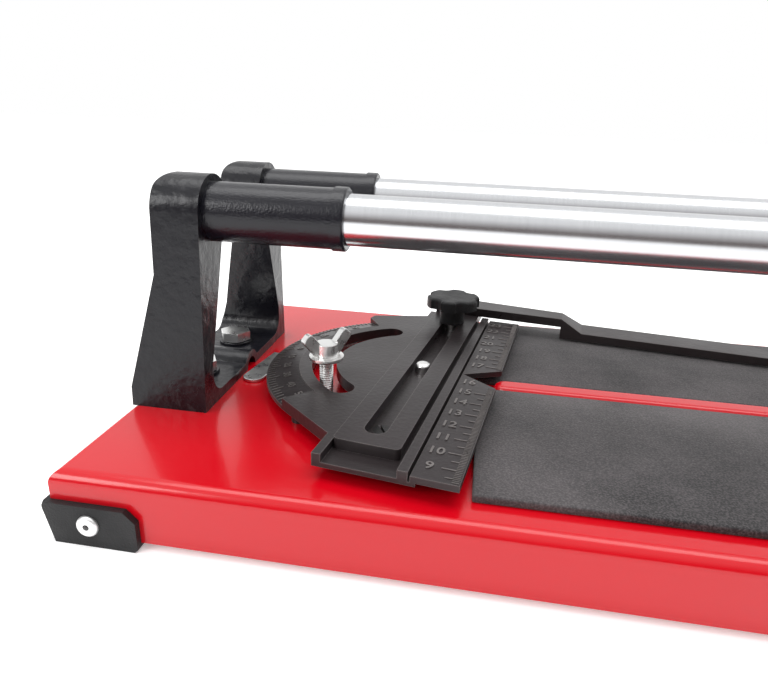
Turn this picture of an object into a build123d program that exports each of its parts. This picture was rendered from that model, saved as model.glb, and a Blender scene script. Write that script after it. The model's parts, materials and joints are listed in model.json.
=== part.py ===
"""Manual tile cutter: pressed steel base, twin rails, swivelling fence gauge, lever carriage.

Frame: millimetres, origin at the centre of the footprint on the surface the cutter stands on,
+X along the rails, +Y to the rear, +Z up.
"""
import os
from math import cos, radians, sin

from build123d import *

os.makedirs("parts", exist_ok=True)

# ---------------------------------------------------------------- driving dimensions
# Base pan, folded from sheet steel, open underneath
PAN_LENGTH = 780.0
PAN_WIDTH = 200.0
PAN_DEPTH = 23.0
PAN_TOP_Z = 25.5
SHEET = 1.5
PAN_BEND_R = 4.5
HALF_LENGTH = PAN_LENGTH / 2
HALF_WIDTH = PAN_WIDTH / 2

# Breaker rib and the two rubber-foam pads beside it
PAD_END_GAP = 138.0
PAD_SIDE_GAP = 12.8
PAD_THICKNESS = 3.0
RIB_WIDTH = 10.0
RIB_HEIGHT = 3.75
RIB_CROWN_R = 2.6
RIB_END_INSET = 7.0
PAD_RIB_GAP = 0.2

# Moulded corner feet
FOOT_LENGTH = 33.0
FOOT_PROUD_SIDE = 2.5
FOOT_PROUD_END = 1.8
FOOT_HEIGHT = 15.4
FOOT_INNER_WALL = 8.5
FOOT_CHAMFER = 4.0
FOOT_EDGE = 1.2
FOOT_TOE = 3.0
FOOT_TOE_RISE = 13.0
FOOT_RIVET_FROM_END = 14.3
FOOT_RIVET_Z = 8.5
RIVET_HEAD_D = 7.7
RIVET_HEAD = 1.3
RIVET_ROUND_R = 1.0
RIVET_SHANK_D = 4.0
RIVET_MANDREL_D = 2.2
RIVET_TAIL_D = 6.0
RIVET_TAIL = 2.0

# Cast rail brackets, one U-shaped casting at each end
BRACKET_END_GAP = 1.1
BRACKET_LENGTH = 31.3
BRACKET_HALF_WIDTH = 49.5
BRACKET_WEB = 4.0
BRACKET_WAIST_INSET = 12.7
BRACKET_PLINTH = 8.0
BRACKET_WAIST_RISE = 54.0
BRACKET_TOP_R = 5.0
BOSS_R = 14.0
BORE_DEPTH = 14.0
ARCH_R = 8.0
ARCH_WALL = 3.2
WEB_FILLET_R = 8.0
INNER_FOOT_Y = 40.6
INNER_MID_Y = 33.4
INNER_MID_RISE = 38.5
INNER_TOP_Y = 25.6
INNER_TOP_RISE = 63.5
INNER_FOOT_RISE = 17.0

# Guide rails and their stop sleeves
RAIL_D = 19.0
RAIL_WALL = 1.5
RAIL_OFFSET_Y = 31.0
RAIL_RISE = 76.5
RAIL_Z = PAN_TOP_Z + RAIL_RISE
SLEEVE_D = 22.5
SLEEVE_LENGTH = 52.4
SLEEVE_COLLAR_D = 23.6
SLEEVE_COLLAR = 5.0
SLEEVE_FILLET_R = 1.0
BLIND_GAP = 0.1

# Bracket fasteners
BOLT_D = 8.0
BOLT_HOLE_D = 8.6
BOLT_OFFSET_Y = 20.0
BOLT_HEX = 13.0
BOLT_HEX_HEIGHT = 4.3
BOLT_FACE_D = 12.4
BOLT_FACE = 0.4
WASHER_D = 16.0
WASHER_HEIGHT = 1.2
NUT_HEIGHT = 5.0
BOLT_STICK_OUT = 2.0

# Swivelling gauge: pivot place, rest angle and casting
PIVOT_FROM_END = 113.1
GAUGE_REST_DEG = -8.5
PIVOT_D = 5.0
RUN_GAP = 0.05
SLIP_GAP = 0.1
GAUGE_UNDER = 4.2
DISC_RISE = 9.2
RULER_RISE = 8.0
FLOOR_RISE = 6.1
GROOVE_RISE = 5.7
RULER_UNDER = 5.5
RULER_HOLLOW_V = 20.0
NEAR_END_U = -87.0
FAR_END_U = 79.0
WALL_OUT_V = -15.5
WALL_IN_V = -12.2
LIP_IN_V = 13.8
LIP_OUT_V = 17.4
RULER_IN_V = 18.1
RULER_OUT_V = 34.1
NOTCH_U = -1.0
NOTCH_WIDTH = 20.0
NOTCH_APEX_V = 18.6
DISC_R = 69.0
DISC_CORNER_R = 72.0
DISC_FROM_DEG = 129.0
DISC_TO_DEG = 232.0
DISC_CORNER_STEP_DEG = 3.0
DISC_FAR_U = 69.5
DISC_NEAR_U = -73.0
BAND_IN_R = 55.0
BAND_IN_DEPTH = 0.6
BAND_OUT_DEPTH = 3.2
ARC_SLOT_R = 44.0
ARC_SLOT_WIDTH = 10.8
ARC_SLOT_FROM_DEG = 125.4
ARC_SLOT_TO_DEG = 235.5
GLIDE_R = 64.0
GLIDE_D = 6.0
GLIDE_DEGS = (134.0, 183.0, 236.0)
PIVOT_BOSS_D = 18.0
CHANNEL_SCREW_U = -58.6
CHANNEL_SCREW_D = 4.0
CHANNEL_HEAD_D = 7.4
CHANNEL_HEAD = 1.7

# Gauge clamp: stud through the arc slot with a wing nut
STUD_DEG = 214.5
STUD_D = 6.0
STUD_TOP_RISE = 22.0
WING_FLANGE_RISE = 15.8
WING_FLANGE_D = 14.8
WING_FLANGE = 1.6
WING_HUB_D = 9.6
WING_HUB = 7.0
WING_SPAN = 23.5
WING_TOP_RISE = 28.6
WING_THICKNESS = 3.4
WING_TURN_DEG = 45.5

# Angle pointer lying on the base beside the disc
POINTER_WIDTH = 9.6
POINTER_LENGTH = 34.0
POINTER_THICKNESS = 1.5
POINTER_FROM_PIVOT_X = -72.9
POINTER_FROM_PIVOT_Y = -1.0
POINTER_TURN_DEG = 8.0

# Fence slider, fence bar and clamp knob
SLIDER_WIDTH = 24.0
SLIDER_THICKNESS = 4.35
SLIDER_NEAR_U = -77.5
SLIDER_SLOT_WIDTH = 8.4
SLIDER_SLOT_NEAR_U = -70.0
SLIDER_SLOT_FAR_U = 74.0
SLIDER_CORNER_R = 2.0
BAR_NEAR_U = 76.0
BAR_FAR_U = 93.0
BAR_LEFT_V = -12.0
BAR_STEP_V = 56.0
BAR_SLOPE = 11.0
BAR_RIGHT_V = 160.0
BAR_THICKNESS = 4.5
BAR_LOW_RISE = 4.05
BAR_LOW_THICKNESS = 4.2
BAR_CORNER_R = 14.0
BAR_TAPER = 5.0
KNOB_U = 61.0
KNOB_HEAD_D = 27.5
KNOB_HEAD = 5.6
KNOB_HEAD_RISE = 19.4
KNOB_STEM_D = 13.0
KNOB_LOBES = 6
KNOB_SCALLOP_D = 9.0
KNOB_STUD_D = 6.0
INSERT_D = 9.0
CARRIAGE_BOLT_HEAD_D = 11.0
CARRIAGE_BOLT_HEAD = 2.0
HEAD_RECESS = 1.0

# Carriage on the rails
CARRIAGE_X = 130.0
CARRIAGE_HALF = 42.0
CHEEK_IN_Y = 13.0
CHEEK_R = 15.5
BUSH_D = 24.0
BUSH_LENGTH = 16.0
BRIDGE = 8.0
REAR_BRIDGE_HEIGHT = 13.5
FRONT_BRIDGE_TOP = -2.0
FRONT_BRIDGE_HEIGHT = 8.0
FRONT_BRIDGE = 6.0
FRONT_BRIDGE_HALF = 22.0
LUG_HALF = 14.0
LUG_OUT_Y = 26.0
LUG_TOP_R = 10.0
LEVER_Z = 126.0
PIN_D = 10.0
PIN_OVERHANG = 3.0
CIRCLIP_D = 15.0
CIRCLIP = 1.2

# Lever: hub, wheel arm, breaker arm, handle
ARM_HALF = 8.0
HUB_HALF = 12.6
HUB_R = 13.0
WHEEL_X = -54.1
WHEEL_DROP = 63.8
WHEEL_R = 11.0
WHEEL_THICKNESS = 5.0
WHEEL_FLAT = 1.2
WHEEL_FORK_GAP = 0.6
WHEEL_EYE_R = 7.5
WHEEL_AXLE_D = 6.0
FOOT_PIVOT_X = 26.0
FOOT_PIVOT_DROP = 70.0
FOOT_EYE_R = 8.0
FOOT_PIN_D = 8.0
ARM_ROOT = 9.0
HANDLE_START_X = 24.0
HANDLE_START_RISE = 13.0
HANDLE_END_X = 236.0
HANDLE_END_RISE = 52.0
HANDLE_D = 20.0
HANDLE_WALL = 2.0
SOCKET_D = 27.0
SOCKET_LENGTH = 45.0
TUBE_IN_SOCKET = 34.0
GRIP_D = 28.0
GRIP_LENGTH = 118.0
GRIP_END = 3.0
ROLL_PIN_D = 5.0

# Breaker foot: saddle with two soft pads
SADDLE_HALF_Y = 34.0
SADDLE_HALF_X = 14.0
SADDLE_LUG_T = 5.0
SADDLE_LUG_GAP = 0.4
SADDLE_THICKNESS = 5.0
SADDLE_DROP = 13.7
SADDLE_PAD = 4.0
SADDLE_PAD_WIDTH = 20.0

# ---------------------------------------------------------------- shared places
PIVOT_X = -(HALF_LENGTH - PIVOT_FROM_END)
BRACKET_OUT_X = HALF_LENGTH - BRACKET_END_GAP
BRACKET_IN_X = BRACKET_OUT_X - BRACKET_LENGTH
BOLT_X = BRACKET_OUT_X - BRACKET_LENGTH / 2
RAIL_END_X = BRACKET_IN_X + BORE_DEPTH - BLIND_GAP
PAD_HALF_LENGTH = HALF_LENGTH - PAD_END_GAP
PAD_OUT_Y = HALF_WIDTH - PAD_SIDE_GAP
PAN_UNDER_Z = PAN_TOP_Z - SHEET
GAUGE_FLOOR_Z = PAN_TOP_Z + FLOOR_RISE
SLIDER_TOP_Z = GAUGE_FLOOR_Z + RUN_GAP + SLIDER_THICKNESS
STUD_WORLD_DEG = STUD_DEG + GAUGE_REST_DEG
STUD_X = PIVOT_X + ARC_SLOT_R * cos(radians(STUD_WORLD_DEG))
STUD_Y = ARC_SLOT_R * sin(radians(STUD_WORLD_DEG))


def gauge_plane(rise):
    """Plane turned with the gauge: local X across the ruler (v), local Y along it (u)."""
    turn = radians(GAUGE_REST_DEG)
    return Plane(origin=(PIVOT_X, 0, PAN_TOP_Z + rise), x_dir=(cos(turn), sin(turn), 0), z_dir=(0, 0, 1))


def polar(radius, degrees):
    """Point at a radius and angle from the local origin."""
    return (radius * cos(radians(degrees)), radius * sin(radians(degrees)))


def foot_outline(corner):
    """Side outline of one leg of a foot, from the pan's corner inwards."""
    inner_end = corner + FOOT_LENGTH
    return [
        (corner + FOOT_TOE, 0),
        (corner, FOOT_TOE_RISE),
        (corner, FOOT_HEIGHT - FOOT_EDGE),
        (corner + FOOT_EDGE, FOOT_HEIGHT),
        (inner_end - FOOT_CHAMFER, FOOT_HEIGHT),
        (inner_end, FOOT_HEIGHT - FOOT_CHAMFER),
        (inner_end, FOOT_EDGE),
        (inner_end - FOOT_EDGE, 0),
    ]


# ---------------------------------------------------------------- base
# Pressed pan: flat top, four folded sides meeting at welded corners, open underneath
FOOT_RIVET_X = HALF_LENGTH - FOOT_RIVET_FROM_END
TRAY_HOLES = [(sx * BOLT_X, sy * BOLT_OFFSET_Y) for sx in (-1, 1) for sy in (-1, 1)]
with BuildPart() as base_tray:
    with BuildSketch(Plane.XY.offset(PAN_TOP_Z - PAN_DEPTH)):
        Rectangle(PAN_LENGTH, PAN_WIDTH)
    extrude(amount=PAN_DEPTH)
    fillet(base_tray.faces().sort_by(Axis.Z)[-1].edges(), PAN_BEND_R)
    offset(amount=-SHEET, openings=base_tray.faces().sort_by(Axis.Z)[0])
    with BuildSketch(Plane.XY.offset(PAN_UNDER_Z)):
        with Locations(*TRAY_HOLES):
            Circle(BOLT_HOLE_D / 2)
        with Locations((STUD_X, STUD_Y)):
            Circle(STUD_D / 2)
        with Locations((PIVOT_X, 0)):
            Circle(PIVOT_D / 2)
    extrude(amount=SHEET, mode=Mode.SUBTRACT)
    with BuildSketch(Plane.XZ):
        with Locations((-FOOT_RIVET_X, FOOT_RIVET_Z), (FOOT_RIVET_X, FOOT_RIVET_Z)):
            Circle(RIVET_SHANK_D / 2)
    extrude(amount=HALF_WIDTH, both=True, mode=Mode.SUBTRACT)
base_tray.part.label = "base_tray"
export_step(base_tray.part, "parts/base_tray.step")

# Breaker rib: low steel bar along the middle, rounded nose at each end, painted with the pan
with BuildPart() as breaker_rib:
    with BuildSketch(Plane.XY.offset(PAN_TOP_Z)):
        SlotOverall(2 * (PAD_HALF_LENGTH - RIB_END_INSET), RIB_WIDTH)
    extrude(amount=RIB_HEIGHT)
    fillet(breaker_rib.faces().sort_by(Axis.Z)[-1].edges(), RIB_CROWN_R)
breaker_rib.part.label = "breaker_rib"
export_step(breaker_rib.part, "parts/breaker_rib.step")

# Foam pads in front of and behind the rib
PAD_IN_Y = RIB_WIDTH / 2 + PAD_RIB_GAP
PAD_MID_Y = (PAD_OUT_Y + PAD_IN_Y) / 2
with BuildPart() as front_pad:
    with BuildSketch(Plane.XY.offset(PAN_TOP_Z)):
        with Locations((0, -PAD_MID_Y)):
            Rectangle(2 * PAD_HALF_LENGTH, PAD_OUT_Y - PAD_IN_Y)
    extrude(amount=PAD_THICKNESS)
front_pad.part.label = "front_pad"
export_step(front_pad.part, "parts/front_pad.step")

with BuildPart() as rear_pad:
    with BuildSketch(Plane.XY.offset(PAN_TOP_Z)):
        with Locations((0, PAD_MID_Y)):
            Rectangle(2 * PAD_HALF_LENGTH, PAD_OUT_Y - PAD_IN_Y)
    extrude(amount=PAD_THICKNESS)
rear_pad.part.label = "rear_pad"
export_step(rear_pad.part, "parts/rear_pad.step")

# Corner feet: L-shaped mouldings that grip the pan's lower edge inside and outside
FOOT_OUT_X = HALF_LENGTH + FOOT_PROUD_END
FOOT_OUT_Y = HALF_WIDTH + FOOT_PROUD_SIDE
FOOT_WALL_Y = FOOT_PROUD_SIDE + SHEET + FOOT_INNER_WALL
FOOT_WALL_X = FOOT_PROUD_END + SHEET + FOOT_INNER_WALL
with BuildPart() as corner_feet:
    with BuildSketch(Plane.XZ.offset(FOOT_OUT_Y)):
        with BuildLine():
            Polyline(*foot_outline(-FOOT_OUT_X), close=True)
        make_face()
    extrude(amount=-FOOT_WALL_Y)
    with BuildSketch(Plane.YZ.offset(-FOOT_OUT_X)):
        with BuildLine():
            Polyline(*foot_outline(-FOOT_OUT_Y), close=True)
        make_face()
    extrude(amount=FOOT_WALL_X)
    with BuildSketch(Plane.XZ.offset(FOOT_OUT_Y)):
        with Locations((-FOOT_RIVET_X, FOOT_RIVET_Z)):
            Circle(RIVET_SHANK_D / 2)
    extrude(amount=-FOOT_WALL_Y, mode=Mode.SUBTRACT)
    mirror(about=Plane.XZ)
    mirror(about=Plane.YZ)
    add(base_tray.part, mode=Mode.SUBTRACT)
corner_feet.part.label = "corner_feet"
export_step(corner_feet.part, "parts/corner_feet.step")

# Blind rivets through foot and pan side, hollow where the mandrel broke off
with BuildPart() as foot_rivets:
    with BuildSketch(Plane.XZ.offset(FOOT_OUT_Y)):
        with Locations((-FOOT_RIVET_X, FOOT_RIVET_Z)):
            Circle(RIVET_HEAD_D / 2)
    extrude(amount=RIVET_HEAD)
    fillet(foot_rivets.edges().filter_by(GeomType.CIRCLE).sort_by(Axis.Y)[0], RIVET_ROUND_R)
    with BuildSketch(Plane.XZ.offset(FOOT_OUT_Y)):
        with Locations((-FOOT_RIVET_X, FOOT_RIVET_Z)):
            Circle(RIVET_SHANK_D / 2)
    extrude(amount=-FOOT_WALL_Y)
    with BuildSketch(Plane.XZ.offset(FOOT_OUT_Y - FOOT_WALL_Y)):
        with Locations((-FOOT_RIVET_X, FOOT_RIVET_Z)):
            Circle(RIVET_TAIL_D / 2)
    extrude(amount=-RIVET_TAIL)
    with BuildSketch(Plane.XZ.offset(FOOT_OUT_Y + RIVET_HEAD)):
        with Locations((-FOOT_RIVET_X, FOOT_RIVET_Z)):
            Circle(RIVET_MANDREL_D / 2)
    extrude(amount=-FOOT_WALL_Y, mode=Mode.SUBTRACT)
    mirror(about=Plane.XZ)
    mirror(about=Plane.YZ)
foot_rivets.part.label = "foot_rivets"
export_step(foot_rivets.part, "parts/foot_rivets.step")

# ---------------------------------------------------------------- rail brackets
# U-shaped casting: web on the base with a half-round arch, two leaning uprights, a boss on each
BRACKET_TOP_Z = RAIL_Z + BOSS_R
WEB_TOP_Z = PAN_TOP_Z + BRACKET_WEB
with BuildPart() as left_rail_bracket:
    with BuildSketch(Plane.YZ.offset(-BRACKET_OUT_X)) as uprights:
        with BuildLine():
            inner = ThreePointArc(
                (INNER_TOP_Y, PAN_TOP_Z + INNER_TOP_RISE),
                (INNER_MID_Y, PAN_TOP_Z + INNER_MID_RISE),
                (INNER_FOOT_Y, PAN_TOP_Z + INNER_FOOT_RISE),
            )
            drop = Line(inner @ 1, (INNER_FOOT_Y, WEB_TOP_Z + WEB_FILLET_R))
            root = RadiusArc(drop @ 1, (INNER_FOOT_Y - WEB_FILLET_R, WEB_TOP_Z), WEB_FILLET_R)
            Polyline(
                root @ 1,
                (0, WEB_TOP_Z),
                (0, PAN_TOP_Z),
                (BRACKET_HALF_WIDTH, PAN_TOP_Z),
                (RAIL_OFFSET_Y + BOSS_R, RAIL_Z),
                (RAIL_OFFSET_Y, RAIL_Z),
                inner @ 0,
            )
        make_face()
        with Locations((RAIL_OFFSET_Y, RAIL_Z)):
            Circle(BOSS_R)
        mirror(about=Plane.YZ)
        with Locations((0, PAN_TOP_Z)):
            Circle(ARCH_R)
            Circle(ARCH_R - ARCH_WALL, mode=Mode.SUBTRACT)
        with Locations((0, PAN_TOP_Z)):
            Rectangle(PAN_WIDTH, PAN_WIDTH, align=(Align.CENTER, Align.MAX), mode=Mode.SUBTRACT)
    extrude(amount=BRACKET_LENGTH)
    with BuildSketch(Plane.XZ) as side_outline:
        with BuildLine():
            Polyline(
                (-BRACKET_OUT_X, PAN_TOP_Z),
                (-BRACKET_OUT_X, PAN_TOP_Z + BRACKET_PLINTH),
                (-BRACKET_OUT_X + BRACKET_WAIST_INSET, PAN_TOP_Z + BRACKET_WAIST_RISE),
                (-BRACKET_OUT_X + BRACKET_WAIST_INSET, BRACKET_TOP_Z),
                (-BRACKET_IN_X, BRACKET_TOP_Z),
                (-BRACKET_IN_X, PAN_TOP_Z),
                close=True,
            )
        make_face()
        top_left = side_outline.vertices().group_by(Axis.Y)[-1].sort_by(Axis.X)[0]
        fillet(top_left, BRACKET_TOP_R)
    extrude(amount=HALF_WIDTH, both=True, mode=Mode.INTERSECT)
    with BuildSketch(Plane.YZ.offset(-BRACKET_IN_X)):
        with Locations((-RAIL_OFFSET_Y, RAIL_Z), (RAIL_OFFSET_Y, RAIL_Z)):
            Circle(RAIL_D / 2)
    extrude(amount=-BORE_DEPTH, mode=Mode.SUBTRACT)
    with BuildSketch(Plane.XY.offset(PAN_TOP_Z)):
        with Locations((-BOLT_X, -BOLT_OFFSET_Y), (-BOLT_X, BOLT_OFFSET_Y)):
            Circle(BOLT_HOLE_D / 2)
    extrude(amount=BRACKET_WEB, mode=Mode.SUBTRACT)
left_rail_bracket.part.label = "left_rail_bracket"
export_step(left_rail_bracket.part, "parts/left_rail_bracket.step")

with BuildPart() as right_rail_bracket:
    add(mirror(left_rail_bracket.part, about=Plane.YZ, mode=Mode.PRIVATE))
right_rail_bracket.part.label = "right_rail_bracket"
export_step(right_rail_bracket.part, "parts/right_rail_bracket.step")

# Hex bolts, plain washers and the nuts under the pan
WASHER_TOP_Z = WEB_TOP_Z + WASHER_HEIGHT
NUT_BOTTOM_Z = PAN_UNDER_Z - NUT_HEIGHT
with BuildPart() as bracket_bolts:
    with BuildSketch(Plane.XY.offset(NUT_BOTTOM_Z - BOLT_STICK_OUT)):
        with Locations(*TRAY_HOLES):
            Circle(BOLT_D / 2)
    extrude(amount=WASHER_TOP_Z - NUT_BOTTOM_Z + BOLT_STICK_OUT)
    with BuildSketch(Plane.XY.offset(WASHER_TOP_Z)):
        with Locations(*TRAY_HOLES):
            Circle(BOLT_FACE_D / 2)
    extrude(amount=BOLT_FACE)
    with BuildSketch(Plane.XY.offset(WASHER_TOP_Z + BOLT_FACE)):
        with Locations(*TRAY_HOLES):
            RegularPolygon(BOLT_HEX / 2, 6, major_radius=False)
    extrude(amount=BOLT_HEX_HEIGHT)
bracket_bolts.part.label = "bracket_bolts"
export_step(bracket_bolts.part, "parts/bracket_bolts.step")

with BuildPart() as bracket_washers:
    with BuildSketch(Plane.XY.offset(WEB_TOP_Z)):
        with Locations(*TRAY_HOLES):
            Circle(WASHER_D / 2)
            Circle(BOLT_D / 2, mode=Mode.SUBTRACT)
    extrude(amount=WASHER_HEIGHT)
bracket_washers.part.label = "bracket_washers"
export_step(bracket_washers.part, "parts/bracket_washers.step")

with BuildPart() as bracket_nuts:
    with BuildSketch(Plane.XY.offset(NUT_BOTTOM_Z)):
        with Locations(*TRAY_HOLES):
            RegularPolygon(BOLT_HEX / 2, 6, major_radius=False)
            Circle(BOLT_D / 2, mode=Mode.SUBTRACT)
    extrude(amount=NUT_HEIGHT)
bracket_nuts.part.label = "bracket_nuts"
export_step(bracket_nuts.part, "parts/bracket_nuts.step")

# ---------------------------------------------------------------- rails
with BuildPart() as front_rail:
    with BuildSketch(Plane.YZ.offset(-RAIL_END_X)):
        with Locations((-RAIL_OFFSET_Y, RAIL_Z)):
            Circle(RAIL_D / 2)
            Circle(RAIL_D / 2 - RAIL_WALL, mode=Mode.SUBTRACT)
    extrude(amount=2 * RAIL_END_X)
front_rail.part.label = "front_rail"
export_step(front_rail.part, "parts/front_rail.step")

with BuildPart() as rear_rail:
    add(mirror(front_rail.part, about=Plane.XZ, mode=Mode.PRIVATE))
rear_rail.part.label = "rear_rail"
export_step(rear_rail.part, "parts/rear_rail.step")

# Plastic sleeves on the rail ends, with a rounded collar that stops the carriage
SLEEVE_FREE_X = BRACKET_IN_X - SLEEVE_LENGTH
with BuildPart() as stop_sleeves:
    with BuildSketch(Plane.YZ.offset(-BRACKET_IN_X)):
        with Locations((-RAIL_OFFSET_Y, RAIL_Z)):
            Circle(SLEEVE_D / 2)
    extrude(amount=SLEEVE_LENGTH)
    with BuildSketch(Plane.YZ.offset(-SLEEVE_FREE_X)):
        with Locations((-RAIL_OFFSET_Y, RAIL_Z)):
            Circle(SLEEVE_COLLAR_D / 2)
    extrude(amount=-SLEEVE_COLLAR)
    fillet(stop_sleeves.edges().filter_by(GeomType.CIRCLE).sort_by(Axis.X)[-1], SLEEVE_FILLET_R)
    with BuildSketch(Plane.YZ.offset(-BRACKET_IN_X)):
        with Locations((-RAIL_OFFSET_Y, RAIL_Z)):
            Circle(RAIL_D / 2)
    extrude(amount=SLEEVE_LENGTH, mode=Mode.SUBTRACT)
    mirror(about=Plane.XZ)
    mirror(about=Plane.YZ)
stop_sleeves.part.label = "stop_sleeves"
export_step(stop_sleeves.part, "parts/stop_sleeves.step")

# ---------------------------------------------------------------- gauge, fixed pieces on the base
# Pivot bolt: head under the pan, shank up through the casting, domed nut inside the slider slot
PIVOT_HEAD_D = 12.0
PIVOT_HEAD = 3.0
PIVOT_NUT_D = 7.0
PIVOT_NUT_BOTTOM_Z = GAUGE_FLOOR_Z + RUN_GAP
PIVOT_NUT_BELOW = 0.4
PIVOT_NUT_DOME_R = 1.8
PIVOT_NUT_CROWN = 1.0
PIVOT_NUT_TOP_Z = SLIDER_TOP_Z - PIVOT_NUT_BELOW
PIVOT_BOLT_TOP_Z = PIVOT_NUT_TOP_Z - PIVOT_NUT_CROWN
with BuildPart() as pivot_bolt:
    with BuildSketch(Plane.XY.offset(PAN_UNDER_Z - PIVOT_HEAD)):
        with Locations((PIVOT_X, 0)):
            Circle(PIVOT_HEAD_D / 2)
    extrude(amount=PIVOT_HEAD)
    with BuildSketch(Plane.XY.offset(PAN_UNDER_Z)):
        with Locations((PIVOT_X, 0)):
            Circle(PIVOT_D / 2)
    extrude(amount=PIVOT_BOLT_TOP_Z - PAN_UNDER_Z)
pivot_bolt.part.label = "pivot_bolt"
export_step(pivot_bolt.part, "parts/pivot_bolt.step")

with BuildPart() as pivot_nut:
    with BuildSketch(Plane.XY.offset(PIVOT_NUT_BOTTOM_Z)):
        with Locations((PIVOT_X, 0)):
            Circle(PIVOT_NUT_D / 2)
    extrude(amount=PIVOT_NUT_TOP_Z - PIVOT_NUT_BOTTOM_Z)
    fillet(pivot_nut.faces().sort_by(Axis.Z)[-1].edges(), PIVOT_NUT_DOME_R)
    with BuildSketch(Plane.XY.offset(PIVOT_NUT_BOTTOM_Z)):
        with Locations((PIVOT_X, 0)):
            Circle(PIVOT_D / 2)
    extrude(amount=PIVOT_BOLT_TOP_Z - PIVOT_NUT_BOTTOM_Z, mode=Mode.SUBTRACT)
pivot_nut.part.label = "pivot_nut"
export_step(pivot_nut.part, "parts/pivot_nut.step")

# Clamp stud: head under the pan, thread up through the arc slot into the wing nut
STUD_HEAD_D = 12.0
STUD_HEAD = 3.0
with BuildPart() as clamp_stud:
    with BuildSketch(Plane.XY.offset(PAN_UNDER_Z - STUD_HEAD)):
        with Locations((STUD_X, STUD_Y)):
            Circle(STUD_HEAD_D / 2)
    extrude(amount=STUD_HEAD)
    with BuildSketch(Plane.XY.offset(PAN_UNDER_Z)):
        with Locations((STUD_X, STUD_Y)):
            Circle(STUD_D / 2)
    extrude(amount=SHEET + STUD_TOP_RISE)
clamp_stud.part.label = "clamp_stud"
export_step(clamp_stud.part, "parts/clamp_stud.step")

# Angle pointer: thin plated strip, round at the front, drawn in at the rear
POINTER_PLANE = Plane(
    origin=(PIVOT_X + POINTER_FROM_PIVOT_X, POINTER_FROM_PIVOT_Y, PAN_TOP_Z),
    x_dir=(cos(radians(POINTER_TURN_DEG)), -sin(radians(POINTER_TURN_DEG)), 0),
    z_dir=(0, 0, 1),
)
with BuildPart() as angle_pointer:
    with BuildSketch(POINTER_PLANE):
        SlotOverall(POINTER_LENGTH, POINTER_WIDTH, rotation=90)
        with Locations((0, POINTER_LENGTH / 4)):
            Rectangle(POINTER_WIDTH, POINTER_LENGTH / 2)
    extrude(amount=POINTER_THICKNESS)
angle_pointer.part.label = "angle_pointer"
export_step(angle_pointer.part, "parts/angle_pointer.step")

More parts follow.
